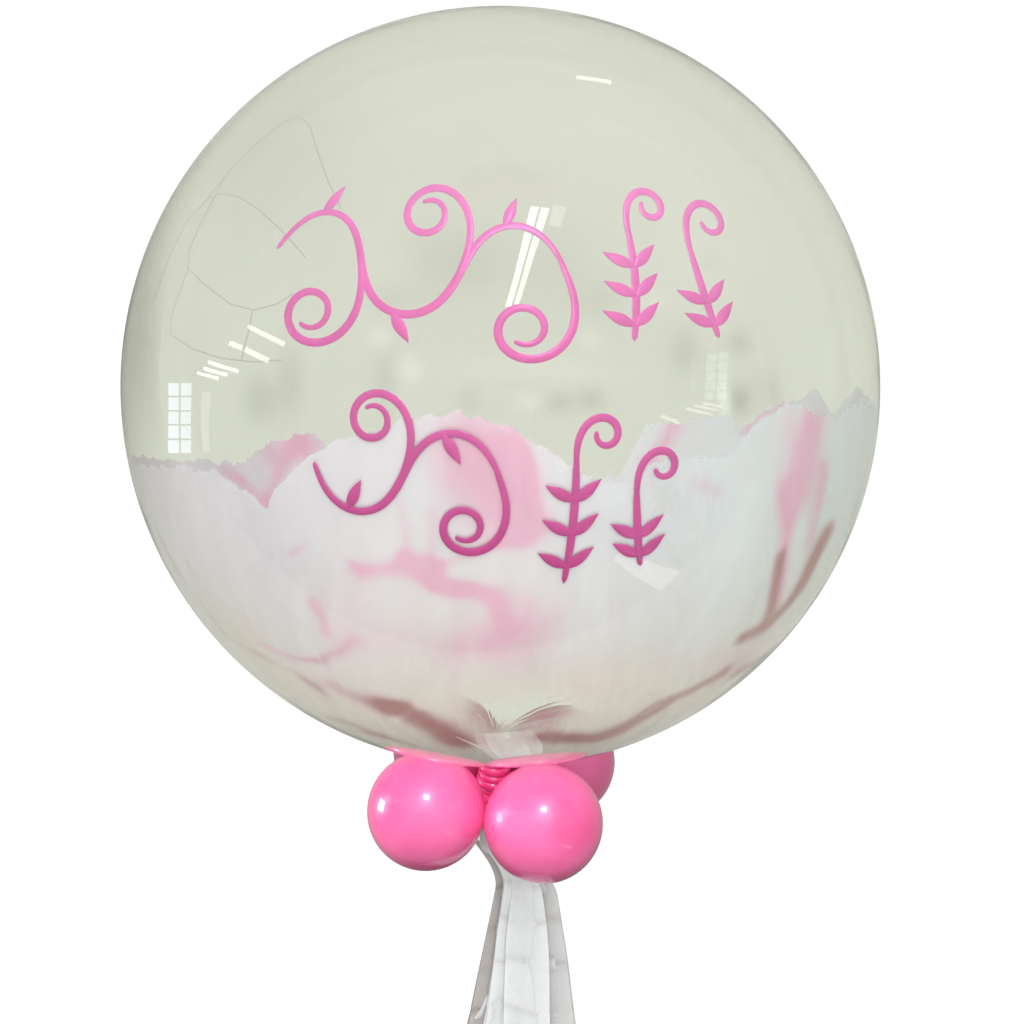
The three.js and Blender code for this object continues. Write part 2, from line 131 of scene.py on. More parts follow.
def laid(points):
    """Upright points laid down: the axis leans back until it rises axis_rise above level."""
    x, y, z = np.moveaxis(np.asarray(points, float), -1, 0)
    sine, cosine = np.sin(axis_rise), np.cos(axis_rise)
    return np.stack([x, y * sine + z * cosine, rest_height - y * cosine + z * sine], -1)


def raised(points):
    """The way back: points of the lying balloon set upright."""
    x, y, z = np.moveaxis(np.asarray(points, float) - bubble_middle, -1, 0)
    sine, cosine = np.sin(axis_rise), np.cos(axis_rise)
    return np.stack([x, y * sine - z * cosine, y * cosine + z * sine], -1)


def on_ground(points, clearance=0.0):
    """Points pressed up to the ground where they would go below it."""
    points[..., 2] = np.maximum(points[..., 2], clearance)
    return points


def smooth_step(low, high, value):
    """0 below low, 1 above high, and 3t^2 - 2t^3 in between."""
    share = np.clip((value - low) / (high - low), 0, 1)
    return share * share * (3 - 2 * share)


def ripple(points, wavelength, seed):
    """Seven plane waves of nearly one wavelength in random directions, from about -1 to 1."""
    rng = np.random.default_rng(seed)
    ways = rng.normal(size=(7, 3))
    ways *= rng.uniform(0.7, 1.4, (7, 1)) / np.linalg.norm(ways, axis=1, keepdims=True)
    phases = rng.uniform(0, 2 * np.pi, 7)
    return np.sin(points @ ways.T * (2 * np.pi / wavelength) + phases).mean(-1) * 1.6


# The camera: the photograph's frame is 1024 pixels square, and the bubble fills a circle of it

FRAME_PIXELS = 1024
BUBBLE_PIXEL = (501, 393)
BUBBLE_PIXEL_RADIUS = 379
CAMERA_DISTANCE = 1.25
CAMERA_TURN = np.radians(9)
CAMERA_RISE = np.radians(18.5)
CAMERA_ROLL = np.radians(1)
SENSOR_WIDTH = 36.0

focal_pixels = BUBBLE_PIXEL_RADIUS * np.sqrt(CAMERA_DISTANCE**2 - BUBBLE_RADIUS**2) / BUBBLE_RADIUS


def unit(vector):
    return vector / np.linalg.norm(vector)


def camera_axes():
    """Right, up and forward of a camera whose up is the balloon's axis, aimed so that the
    bubble's middle falls on its pixel, and its place."""
    level = np.cos(CAMERA_RISE)
    outward = np.array([
        np.sin(CAMERA_TURN) * level, -np.cos(CAMERA_TURN) * level, np.sin(CAMERA_RISE)])
    back = laid(outward) - bubble_middle
    axis = laid([0, 0, 1]) - bubble_middle
    right = unit(np.cross(-back, axis))
    up = np.cross(right, -back)
    right, up = (
        right * np.cos(CAMERA_ROLL) + up * np.sin(CAMERA_ROLL),
        up * np.cos(CAMERA_ROLL) - right * np.sin(CAMERA_ROLL),
    )
    aside = (BUBBLE_PIXEL[0] - FRAME_PIXELS / 2) / focal_pixels
    above = (FRAME_PIXELS / 2 - BUBBLE_PIXEL[1]) / focal_pixels
    forward = unit(-back - aside * right - above * up)
    right = unit(np.cross(forward, up))
    return right, np.cross(right, forward), forward, bubble_middle + back * CAMERA_DISTANCE


camera_right, camera_up, camera_forward, camera_place = camera_axes()


def sight_lines(pixels):
    """From the camera towards each pixel: one step forward, with its share right and up."""
    aside = (pixels[..., :1] - FRAME_PIXELS / 2) / focal_pixels
    above = (FRAME_PIXELS / 2 - pixels[..., 1:]) / focal_pixels
    return camera_forward + aside * camera_right + above * camera_up


def pixel_on_film(pixels, far=False):
    """Where the sight line of each pixel meets the bubble, on its near or its far side."""
    line = sight_lines(np.asarray(pixels, float))
    line /= np.linalg.norm(line, axis=-1, keepdims=True)
    offset = camera_place - bubble_middle
    along = line @ offset
    inside = along**2 - (offset @ offset - BUBBLE_RADIUS**2)
    reach = -along + np.sqrt(np.maximum(inside, 0)) * (1 if far else -1)
    return camera_place + line * reach[..., None]


def longitude_latitude(points):
    """Longitude from the decorated face towards +X, and latitude above the bubble's middle."""
    x, y, z = np.moveaxis(raised(points), -1, 0)
    return np.arctan2(x, -y), np.arctan2(z, np.hypot(x, y))


def make_camera():
    data = bpy.data.cameras.new("camera")
    data.sensor_width = SENSOR_WIDTH
    data.lens = focal_pixels * SENSOR_WIDTH / FRAME_PIXELS
    camera = bpy.data.objects.new("camera", data)
    axes = np.stack([camera_right, camera_up, -camera_forward, camera_place], 1)
    camera.matrix_world = Matrix(np.vstack([axes, [0, 0, 0, 1]]).tolist())
    bpy.context.scene.collection.objects.link(camera)
    bpy.context.scene.camera = camera


# Meshes

ROUND_SIDES = 8  # of a small round section
SHARP_ANGLE = np.radians(50)  # an edge that bends more than this isn't shaded smooth


def facing_out(points, faces):
    """Turns the faces of a closed skin round if its signed volume is negative."""
    middle = points.mean(0)
    volume = 0.0
    for group in faces:
        corners = points[group] - middle
        for k in range(1, group.shape[1] - 1):
            cross = np.cross(corners[:, k], corners[:, k + 1])
            volume += np.einsum("ij,ij->", corners[:, 0], cross)
    return faces if volume > 0 else [group[:, ::-1] for group in faces]


def tube(rings):
    """Skin of a row of rings: each ring is joined to the next by quads, and each end is closed
    by a fan round its middle."""
    count, sides, _ = rings.shape
    points = np.concatenate([rings.reshape(-1, 3), rings[:1].mean(1), rings[-1:].mean(1)])
    near = np.arange(sides)
    after = (near + 1) % sides
    row = np.arange(count - 1)[:, None] * sides
    quads = np.stack([row + near, row + after, row + sides + after, row + sides + near], -1)
    last = (count - 1) * sides
    start = np.full(sides, count * sides)
    first_fan = np.stack([start, after, near], -1)
    last_fan = np.stack([start + 1, last + near, last + after], -1)
    return points, facing_out(points, [quads.reshape(-1, 4), first_fan, last_fan])


def swept(path, radii, sides=ROUND_SIDES):
    """A round skin along a path: each ring lies across the path, at that point's radius."""
    path = np.asarray(path, float)
    along = np.gradient(path, axis=0)
    along /= np.linalg.norm(along, axis=1, keepdims=True)
    guide = np.array([0.3, -0.4, 0.86])
    aside = np.cross(along, guide)
    aside /= np.linalg.norm(aside, axis=1, keepdims=True)
    above = np.cross(aside, along)
    angle = np.linspace(0, 2 * np.pi, sides, endpoint=False)
    round_ = np.cos(angle)[:, None] * aside[:, None] + np.sin(angle)[:, None] * above[:, None]
    return tube(path[:, None] + np.asarray(radii)[:, None, None] * round_)


def make_piece(name, parts, material, fields=None):
    """One mesh object of several skins, smooth but for its sharp edges, on the one body."""
    faces = []
    start = 0
    for points, groups in parts:
        for group in groups:
            faces.extend((group + start).tolist())
        start += len(points)
    points = np.concatenate([part[0] for part in parts])
    mesh = bpy.data.meshes.new(name)
    mesh.from_pydata(points.tolist(), [], faces)
    mesh.shade_smooth()
    mesh.set_sharp_from_angle(angle=SHARP_ANGLE)
    for field, values in (fields or {}).items():
        kind = "FLOAT" if values.ndim == 1 else "FLOAT_VECTOR"
        attribute = mesh.attributes.new(field, kind, "POINT")
        attribute.data.foreach_set("value" if kind == "FLOAT" else "vector", values.ravel())
    mesh.materials.append(material)
    piece = bpy.data.objects.new(name, mesh)
    bpy.context.scene.collection.objects.link(piece)
    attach(piece, "root")
    return piece


def give_wall(piece, thickness):
    """A wall of even thickness, inside the skin."""
    wall = piece.modifiers.new("wall", "SOLIDIFY")
    wall.thickness = thickness
    wall.offset = -1


# Materials

# Widths of their patterns
FILM_WAVE = 0.07
PAINT_SWIRL = 0.05
PAINT_STREAK = 0.022
PAINT_VEIL = 0.035
PAINT_TEAR = 0.009
VINYL_FLAKES = 0.02
LATEX_CLOUD = 0.03
PAPER_CLOUD = 0.012
PAPER_CREASE = 0.011
PAPER_FIBRE = 0.002

PAINT_PULL = 0.05  # how far the swirls pull the streaks aside
PAINT_RAG = 0.016  # how far the edge's tears reach


def linear(colour):
    """An sRGB hex colour as linear red, green, blue and 1."""
    parts = np.array([int(colour[i : i + 2], 16) for i in (1, 3, 5)]) / 255
    low = parts / 12.92
    high = ((parts + 0.055) / 1.055) ** 2.4
    return (*np.where(parts <= 0.04045, low, high), 1.0)


def add_node(tree, kind, inputs=None, **settings):
    """A shader node with its settings; an input is a value, or a socket to link it to."""
    node = tree.nodes.new("ShaderNode" + kind)
    for name, value in settings.items():
        setattr(node, name, value)
    for name, value in (inputs or {}).items():
        if isinstance(value, bpy.types.NodeSocket):
            tree.links.new(value, node.inputs[name])
        else:
            node.inputs[name].default_value = value
    return node


def new_material(name, sockets):
    """A material whose Principled shader has these values, with its tree and shader."""
    material = bpy.data.materials.new(name)
    material.use_nodes = True
    tree = material.node_tree
    shader = tree.nodes["Principled BSDF"]
    for socket, value in sockets.items():
        shader.inputs[socket].default_value = value
    return material, tree, shader


def film_material():
    """Blown polyurethane film: clear, smooth as glass, faintly grey-green where it is seen
    through twice, with the slow waves that stretching leaves."""
    material, tree, shader = new_material("clear_polyurethane_film", {
        "Base Color": linear("#E8EAE1"),
        "Roughness": 0.0,
        "IOR": 1.45,
        "Transmission Weight": 1.0,
    })
    place = add_node(tree, "TexCoord").outputs["Object"]
    waves = add_node(tree, "TexNoise", {"Vector": place, "Scale": 1 / FILM_WAVE, "Detail": 1.0})
    bump = add_node(tree, "Bump", {
        "Height": waves.outputs["Fac"], "Distance": 0.004, "Strength": 0.06})
    tree.links.new(bump.outputs["Normal"], shader.inputs["Normal"])
    return material


def paint_material():
    """Water-based paint swirled inside the bubble and left to dry: a satin coat, bluish white
    and pink drawn into each other, thick and opaque at its edge and thin further down, with a
    painted shade in brownish pink low down and a painted light, brighter and bluer, to the right."""
    material, tree, shader = new_material("marbled_balloon_paint", {
        "Roughness": 0.6, "Specular IOR Level": 0.1})
    flow = add_node(tree, "Attribute", attribute_name="flow").outputs["Vector"]
    read = {name: add_node(tree, "Attribute", attribute_name=name).outputs["Fac"]
            for name in ("pink", "dusky_shade", "cover", "below_edge", "warmth", "cool_and_lit")}
    swirl = add_node(tree, "TexNoise", {"Vector": flow, "Scale": 1 / PAINT_SWIRL, "Detail": 2.0})
    centred = add_node(tree, "VectorMath", {0: swirl.outputs["Color"], 1: (0.5, 0.5, 0.5)},
                       operation="SUBTRACT")
    drawn = add_node(tree, "VectorMath", {0: centred.outputs[0], "Scale": PAINT_PULL},
                     operation="SCALE")
    warped = add_node(tree, "VectorMath", {0: flow, 1: drawn.outputs[0]})
    streaks = add_node(tree, "TexNoise", {
        "Vector": warped.outputs[0], "Scale": 1 / PAINT_STREAK, "Detail": 4.0, "Roughness": 0.5})
    veil = add_node(tree, "TexNoise", {
        "Vector": warped.outputs[0], "Scale": 1 / PAINT_VEIL, "Detail": 5.0, "Roughness": 0.6})

    def stirred(value, noise, amount, low, high):
        """value + (noise - 0.5) * amount, run smoothly from 0 at low to 1 at high."""
        shift = add_node(tree, "Math", {0: noise.outputs["Fac"], 1: amount, 2: -0.5 * amount},
                         operation="MULTIPLY_ADD")
        total = add_node(tree, "Math", {0: value, 1: shift.outputs[0]})
        return add_node(tree, "MapRange", {
            "Value": total.outputs[0], "From Min": low, "From Max": high},
            interpolation_type="SMOOTHSTEP").outputs[0]

    def mixed(share, first, second):
        return add_node(tree, "Mix", {0: share, 6: first, 7: second},
                        data_type="RGBA").outputs[2]

    # Painted light: the white is brighter and bluer towards the camera's right.
    white = mixed(read["cool_and_lit"], linear("#F5F0FA"), linear("#F2FBFF"))
    warm = mixed(read["warmth"], white, linear("#F6EDE8"))
    with_pink = mixed(stirred(read["pink"], streaks, 0.7, 0.05, 1.15), warm, linear("#FBC6E2"))
    # Painted shade: a brownish pink mixed in, mostly low down towards the funnel.
    dusky_shade = mixed(stirred(read["dusky_shade"], streaks, 0.6, 0.1, 1.1), with_pink, linear("#BC767B"))
    shade = add_node(tree, "MapRange", {
        "Value": veil.outputs["Fac"], "From Min": 0.3, "From Max": 0.7, "To Min": 0.93,
        "To Max": 1.03})
    shaded = add_node(tree, "VectorMath", {0: dusky_shade, "Scale": shade.outputs[0]},
                      operation="SCALE")
    tree.links.new(shaded.outputs[0], shader.inputs["Base Color"])
    body = stirred(read["cover"], veil, 0.55, 0.0, 1.0)
    torn = add_node(tree, "TexNoise", {"Vector": flow, "Scale": 1 / PAINT_TEAR, "Detail": 4.0})
    ragged = stirred(read["below_edge"], torn, PAINT_RAG, 0.0, 0.0018)
    alpha = add_node(tree, "Math", {0: body, 1: ragged}, operation="MULTIPLY")
    tree.links.new(alpha.outputs[0], shader.inputs["Alpha"])
    return material


def vinyl_material():
    """Cast metallic vinyl, cut and stuck on: satin gloss, paler pink towards the top, which is a
    painted reflection.
    """
    material, tree, shader = new_material("metallic_pink_vinyl", {
        "Metallic": 0.35, "Roughness": 0.3, "Coat Weight": 0.4, "Coat Roughness": 0.1})
    place = add_node(tree, "TexCoord").outputs["Object"]
    split = add_node(tree, "SeparateXYZ", {"Vector": place})
    # Painted reflection: the pink runs from deep at the bottom to pale at the top.
    height = add_node(tree, "MapRange", {
        "Value": split.outputs["Y"], "From Min": -0.2, "From Max": 0.16})
    lower = add_node(tree, "Mix", {
        0: height.outputs[0], 6: linear("#D2408F"), 7: linear("#FFA0DC")}, data_type="RGBA")
    flakes = add_node(tree, "TexNoise", {
        "Vector": place, "Scale": 1 / VINYL_FLAKES, "Detail": 3.0})
    shade = add_node(tree, "MapRange", {
        "Value": flakes.outputs["Fac"], "From Min": 0.35, "From Max": 0.65, "To Min": 0.94,
        "To Max": 1.06})
    tinted = add_node(tree, "VectorMath", {0: lower.outputs[2], "Scale": shade.outputs[0]},
                      operation="SCALE")
    tree.links.new(tinted.outputs[0], shader.inputs["Base Color"])
    return material


def latex_material():
    """Dipped natural rubber blown taut: a smooth gloss over a skin that lets a little light
    through, and a deeper pink where it is thick, at its crown, neck, knot and rim."""
    material, tree, shader = new_material("pink_latex_rubber", {
        "Roughness": 0.35,
        "IOR": 1.52,
        "Coat Weight": 1.0,
        "Coat Roughness": 0.055,
        "Coat Tint": linear("#FFCCE0"),
        "Subsurface Weight": 0.25,
        "Subsurface Radius": (1.0, 0.35, 0.5),
        "Subsurface Scale": 0.006,
    })
    thick = add_node(tree, "Attribute", attribute_name="thick").outputs["Fac"]
    place = add_node(tree, "TexCoord").outputs["Object"]
    cloud = add_node(tree, "TexNoise", {"Vector": place, "Scale": 1 / LATEX_CLOUD, "Detail": 2.0})
    soft = add_node(tree, "MapRange", {
        "Value": cloud.outputs["Fac"], "From Min": 0.3, "From Max": 0.7, "To Min": 0.0,
        "To Max": 0.2})
    total = add_node(tree, "Math", {0: thick, 1: soft.outputs[0]}, use_clamp=True)
    colour = add_node(tree, "Mix", {
        0: total.outputs[0], 6: linear("#E07EB2"), 7: linear("#C0387A")}, data_type="RGBA")
    tree.links.new(colour.outputs[2], shader.inputs["Base Color"])
    return material


def paper_material():
    """White tissue paper: matt, thin enough to glow, with fine crumpled creases, and a painted
    shade that greys the head, the strips at the sides and the creases."""
    material, tree, shader = new_material("white_tissue_paper", {
        "Roughness": 0.8,
        "Subsurface Weight": 0.35,
        "Subsurface Radius": (1.0, 1.0, 0.95),
        "Subsurface Scale": 0.004,
        "Sheen Weight": 0.1,
    })
    place = add_node(tree, "TexCoord").outputs["Object"]
    clouds = add_node(tree, "TexNoise", {
        "Vector": place, "Scale": 1 / PAPER_CLOUD, "Detail": 4.0})
    colour = add_node(tree, "Mix", {
        0: clouds.outputs["Fac"], 6: linear("#F9FDFC"), 7: linear("#E6EEEB")}, data_type="RGBA")
    # Painted shade: the shaded attribute greys the paper at the head, the side strips and the
    # creases.
    shaded = add_node(tree, "Attribute", attribute_name="shaded").outputs["Fac"]
    dimmed = add_node(tree, "Mix", {0: shaded, 6: colour.outputs[2], 7: linear("#A0938D")},
                      data_type="RGBA")
    tree.links.new(dimmed.outputs[2], shader.inputs["Base Color"])
    creases = add_node(tree, "TexVoronoi", {"Vector": place, "Scale": 1 / PAPER_CREASE},
                       feature="DISTANCE_TO_EDGE")
    fibres = add_node(tree, "TexNoise", {
        "Vector": place, "Scale": 1 / PAPER_FIBRE, "Detail": 2.0})
    relief = add_node(tree, "Math", {
        0: creases.outputs["Distance"], 1: 1.0, 2: fibres.outputs["Fac"]},
        operation="MULTIPLY_ADD")
    bump = add_node(tree, "Bump", {
        "Height": relief.outputs[0], "Distance": 0.001, "Strength": 0.35})
    tree.links.new(bump.outputs["Normal"], shader.inputs["Normal"])
    return material


# The film

ROUND_ROWS = 135
FUNNEL_ROWS = 13
FILM_COLUMNS = 240


def gathered(points):
    """Upright points of the film, drawn inwards into folds near the neck: the folds deepen from
    nothing at PLEAT_REACH to full at the funnel, and are uneven round the balloon."""
    x, y, z = np.moveaxis(points, -1, 0)
    radius = np.maximum(np.hypot(x, y), 1e-6)
    turn = np.arctan2(y, x)
    broad = (np.cos(PLEATS * turn + 0.7 * np.sin(3 * turn)) - 1) / 2
    narrow = (np.cos(FINE_PLEATS * turn + 1.3 * np.sin(2 * turn)) - 1) / 2
    fold = 0.6 * broad + 0.4 * narrow
    grown = np.clip((PLEAT_REACH - radius) / (PLEAT_REACH - FUNNEL_MOUTH), 0, 1)
    height = np.minimum(2 * PLEAT_DEPTH * grown, radius / 4) * fold * (z < 0)
    sideways = np.where(z < -BUBBLE_RADIUS, 1.0, radius / BUBBLE_RADIUS)
    outward = 1 + height * sideways / radius
    return np.stack([x * outward, y * outward, z - height * (1 - sideways)], -1)


def film_profile():
    """Radius and height from the top down: a round, a curve into the neck that leaves the round
    along its tangent, and the gathered tail."""
    mouth = -np.arccos(FUNNEL_MOUTH / BUBBLE_RADIUS)
    latitude = np.linspace(np.pi / 2, mouth, ROUND_ROWS + 1)[1:]
    round_ = BUBBLE_RADIUS * np.stack([np.cos(latitude), np.sin(latitude)], 1)
    mouth_drop = -round_[-1, 1]
    tangent_drop = mouth_drop + (FUNNEL_MOUTH - NECK_RADIUS) * FUNNEL_MOUTH / mouth_drop
    start = round_[-1]
    bend = np.array([NECK_RADIUS, -tangent_drop])
    end = np.array([NECK_RADIUS, -tie_drop])
    share = np.linspace(0, 1, FUNNEL_ROWS + 1)[1:, None]
    funnel = start * (1 - share) ** 2 + bend * 2 * share * (1 - share) + end * share**2
    drop = np.array([0.4, 1.0, 3.0, 7.0, 11.0, 15.5, 16.4]) / 16.4 * TAIL_LENGTH
    tail_radius = TAIL_RADIUS - (TAIL_RADIUS - NECK_RADIUS) * np.exp(-drop / 0.004)
    tail = np.stack([tail_radius, -tie_drop - drop], 1)
    return np.concatenate([round_, funnel, tail])


def make_film(material):
    """The profile turned round the axis, gathered, laid down and pressed to the ground."""
    profile = film_profile()
    turn = np.linspace(0, 2 * np.pi, FILM_COLUMNS, endpoint=False)
    rings = np.stack([
        profile[:, :1] * np.cos(turn), profile[:, :1] * np.sin(turn),
        np.repeat(profile[:, 1:], len(turn), 1)], -1)
    rings = on_ground(laid(gathered(rings)))
    piece = make_piece("clear_bubble_film", [tube(rings)], material)
    give_wall(piece, FILM_THICKNESS)
    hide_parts("clear_bubble")
    piece.visible_shadow = False
    piece.visible_diffuse = False
    return piece


# The marbled paint. Its edge and strokes were laid out on the photograph's frame, in pixels,
# and are carried along the sight lines onto the near or the far side of the film.

NEAR_EDGE = [
    (127, 462), (150, 465), (178, 466), (213, 468), (240, 488), (266, 507), (275, 490),
    (289, 474), (300, 462), (329, 445), (352, 435), (367, 434), (393, 420), (429, 413),
    (452, 412), (480, 416), (513, 428), (541, 441), (577, 469), (602, 478), (640, 470),
    (666, 459), (715, 457), (739, 449), (745, 436), (760, 418), (783, 404), (800, 403),
    (824, 415), (837, 421), (847, 408), (862, 403), (874, 408)]
FAR_EDGE = [
    (127, 455), (180, 460), (240, 464), (258, 450), (273, 441), (311, 430), (325, 444),
    (345, 466), (480, 470), (560, 480), (600, 490), (614, 486), (623, 448), (646, 425),
    (669, 420), (682, 426), (707, 415), (727, 416), (745, 430), (762, 412), (786, 401),
    (804, 398), (815, 387), (824, 398), (834, 414), (846, 400), (860, 385), (868, 398),
    (874, 404)]

# Strokes: field, strength, half width in pixels, and the pixels it runs through. The brownish
# pink ones are painted shade.
NEAR_STROKES = [
    ("pink", 0.90, 34, [(462, 442), (474, 468), (486, 500)]),
    ("pink", 0.80, 24, [(500, 454), (518, 486), (532, 516)]),
    ("pink", 0.45, 8, [(512, 444), (530, 472), (552, 518)]),
    ("pink", 0.45, 7, [(498, 542), (526, 537), (552, 526)]),
    ("pink", 0.45, 8, [(401, 506), (401, 535), (402, 560)]),
    ("pink", 0.40, 7, [(431, 512), (431, 535), (430, 560)]),
    ("pink", 0.85, 11, [(358, 571), (400, 571), (436, 580), (462, 590)]),
    ("pink", 0.60, 8, [(397, 558), (420, 562), (442, 567)]),
    ("pink", 0.80, 9, [(438, 583), (471, 593), (492, 606), (510, 632)]),
    ("pink", 0.15, 30, [(470, 640), (500, 660), (520, 640)]),
    ("pink", 0.55, 6, [(446, 564), (470, 553), (504, 536)]),
    ("pink", 0.55, 5, [(292, 552), (306, 546), (324, 544), (341, 554), (356, 567)]),
    ("pink", 0.85, 7, [(314, 601), (321, 616), (326, 634)]),
    ("pink", 0.60, 8, [(353, 641), (341, 651), (329, 655), (319, 662), (292, 659), (264, 648)]),
    ("dusky_shade", 0.40, 6, [(353, 641), (341, 651), (329, 655), (319, 662), (292, 659)]),
    ("pink", 0.25, 26, [(352, 590), (350, 620), (345, 645)]),
    ("pink", 0.30, 20, [(500, 600), (540, 618), (490, 648)]),
    ("pink", 0.50, 5, [(196, 466), (214, 473), (240, 490)]),
    ("pink", 0.25, 22, [(140, 490), (152, 540), (178, 600)]),
    ("pink", 0.55, 5, [(510, 427), (541, 439), (563, 452)]),
    ("pink", 1.00, 36, [(810, 434), (808, 458), (800, 486)]),
    ("pink", 0.80, 14, [(790, 496), (786, 545), (777, 596)]),
    ("pink", 0.70, 11, [(826, 470), (822, 505), (812, 545)]),
    ("pink", 0.45, 12, [(702, 486), (716, 494)]),
    ("pink", 0.40, 11, [(652, 478), (668, 505)]),
    ("pink", 0.45, 10, [(482, 738), (498, 752), (510, 766)]),
    ("dusky_shade", 0.50, 16, [(324, 686), (365, 700), (402, 708)]),
    ("pink", 0.40, 24, [(324, 686), (365, 700), (402, 708)]),
    ("dusky_shade", 1.00, 22, [(396, 712), (420, 722), (440, 730), (454, 740)]),
    ("pink", 0.40, 20, [(396, 712), (420, 722), (440, 730), (454, 740)]),
    ("dusky_shade", -0.60, 6, [(389, 725), (410, 708), (433, 690)]),
    ("dusky_shade", 0.55, 14, [(330, 720), (352, 726), (380, 736)]),
    ("dusky_shade", 0.50, 8, [(143, 493), (176, 570), (217, 626), (246, 650), (290, 672), (338, 704)]),
    ("pink", 0.35, 36, [(400, 640), (460, 650), (520, 640)]),
    ("dusky_shade", 0.40, 8, [(304, 711), (341, 729), (378, 737), (414, 747)]),
    ("dusky_shade", 1.10, 18, [(829, 536), (814, 565), (803, 586)]),
    ("dusky_shade", 0.80, 12, [(781, 560), (775, 590), (770, 612)]),
    ("dusky_shade", 0.90, 14, [(788, 606), (769, 625), (740, 641)]),
    ("dusky_shade", 0.80, 14, [(774, 650), (760, 660), (745, 668)]),
    ("pink", 0.25, 34, [(680, 662), (715, 660), (752, 656)]),
    ("dusky_shade", 0.80, 14, [(655, 710), (672, 700), (699, 686), (724, 672)]),
    ("dusky_shade", 0.90, 15, [(544, 738), (597, 740), (626, 726), (655, 710)]),
    ("dusky_shade", 0.20, 30, [(600, 738), (680, 712), (760, 650)]),
    ("cover", 0.60, 26, [(790, 412), (765, 440), (752, 480), (737, 540), (715, 600)]),
    ("cover", 0.50, 14, [(846, 420), (850, 480), (832, 530)]),
    ("cover", 0.40, 12, [(818, 496), (806, 533), (794, 595)]),
    ("cover", 0.30, 40, [(330, 480), (440, 470), (520, 560)]),
    ("cover", -0.80, 12, [(596, 476), (620, 472)]),
    ("cover", -0.60, 9, [(666, 470), (666, 505)]),
    ("cover", -0.35, 34, [(640, 490), (690, 500), (700, 540)]),
    ("cover", -0.45, 40, [(510, 712), (570, 700), (650, 690)]),
    ("cover", -0.25, 40, [(190, 620), (240, 680), (320, 730)]),
    ("warmth", 0.70, 60, [(240, 640), (330, 720), (480, 740), (600, 700)]),
]
FAR_STROKES = [
    ("pink", 0.60, 24, [(270, 456), (300, 446), (312, 462)]),
    ("pink", 0.70, 12, [(225, 470), (268, 500)]),
    ("pink", 0.60, 14, [(296, 440), (283, 470), (270, 500)]),
    ("pink", 0.80, 11, [(676, 428), (664, 450), (645, 466)]),
    ("pink", 0.70, 9, [(745, 434), (760, 414), (786, 404)]),
    ("pink", 0.35, 12, [(812, 396), (822, 420)]),
    ("pink", 0.35, 12, [(860, 394), (850, 420)]),
    ("cover", 0.40, 30, [(640, 440), (690, 440), (740, 440)]),
    ("cover", 0.40, 20, [(815, 405), (860, 400)]),
]

PAINT_ROWS = 145
PAINT_COLUMNS = 320
PAINTED_FUNNEL_ROWS = 10
PAINT_CROWDING = 0.60  # 0 spaces the columns evenly, 1 lets them meet in front
PAINT_MARGIN = 0.008  # the coat's mesh reaches this far above its ragged edge
PAINT_DEPTH = 0.30  # from the edge to where the coat is at its thinnest
STROKE_DRIFT = 0.004  # how far the strokes waver


def paint_edge():
    """Latitude of the paint's edge as a function of longitude, from both edge lines."""
    near = np.stack(longitude_latitude(pixel_on_film(NEAR_EDGE)), 1)
    far = np.stack(longitude_latitude(pixel_on_film(FAR_EDGE, far=True)), 1)
    near = near[np.argsort(near[:, 0])]
    inside = (far[:, 0] > near[-1, 0]) | (far[:, 0] < near[0, 0])
    around = np.concatenate([near, far[inside]])
    around = around[np.argsort(around[:, 0])]
    return lambda longitude: np.interp(longitude, around[:, 0], around[:, 1], period=2 * np.pi)


def stroke_share(points, path, half_width):
    """1 along a line through the path's points, fading away on both sides of it."""
    nearest = np.full(len(points), np.inf)
    for start, end in zip(path[:-1], path[1:]):
        along = end - start
        share = np.clip((points - start) @ along / (along @ along), 0, 1)
        gap = np.linalg.norm(points - start - share[:, None] * along, axis=1)
        nearest = np.minimum(nearest, gap)
    return np.exp(-1.3 * (nearest / half_width) ** 2)


def paint_grid(longitude, edge):
    """Radius and height of the coat's upright points: rows of latitude from a little above its
    edge down to the funnel's mouth, and then the funnel's own rows."""
    upper = edge + PAINT_MARGIN / BUBBLE_RADIUS
    lower = -np.arccos(FUNNEL_MOUTH / BUBBLE_RADIUS)
    down = np.linspace(0, 1, PAINT_ROWS)[:, None]
    latitude = upper + (lower - upper) * down
    radius = (BUBBLE_RADIUS - PAINT_INSET) * np.cos(latitude)
    height = (BUBBLE_RADIUS - PAINT_INSET) * np.sin(latitude)
    funnel = film_profile()[ROUND_ROWS:ROUND_ROWS + PAINTED_FUNNEL_ROWS]
    funnel_radius, funnel_height = funnel.T[..., None] * np.ones(len(longitude))
    radius = np.concatenate([radius, funnel_radius - PAINT_INSET])
    return radius, np.concatenate([height, funnel_height + PAINT_INSET])


def paint_quads(points, rows, columns):
    """Quads from row to row and round each row, facing away from the bubble's middle."""
    near = np.arange(columns)
    after = (near + 1) % columns
    row = np.arange(rows - 1)[:, None] * columns
    quads = np.stack([row + near, row + columns + near, row + columns + after, row + after], -1)
    quads = quads.reshape(-1, 4)
    a, b, c = (points[quads[0, k]] for k in range(3))
    if np.cross(b - a, c - a) @ (a - bubble_middle) < 0:
        quads = quads[:, ::-1]
    return quads


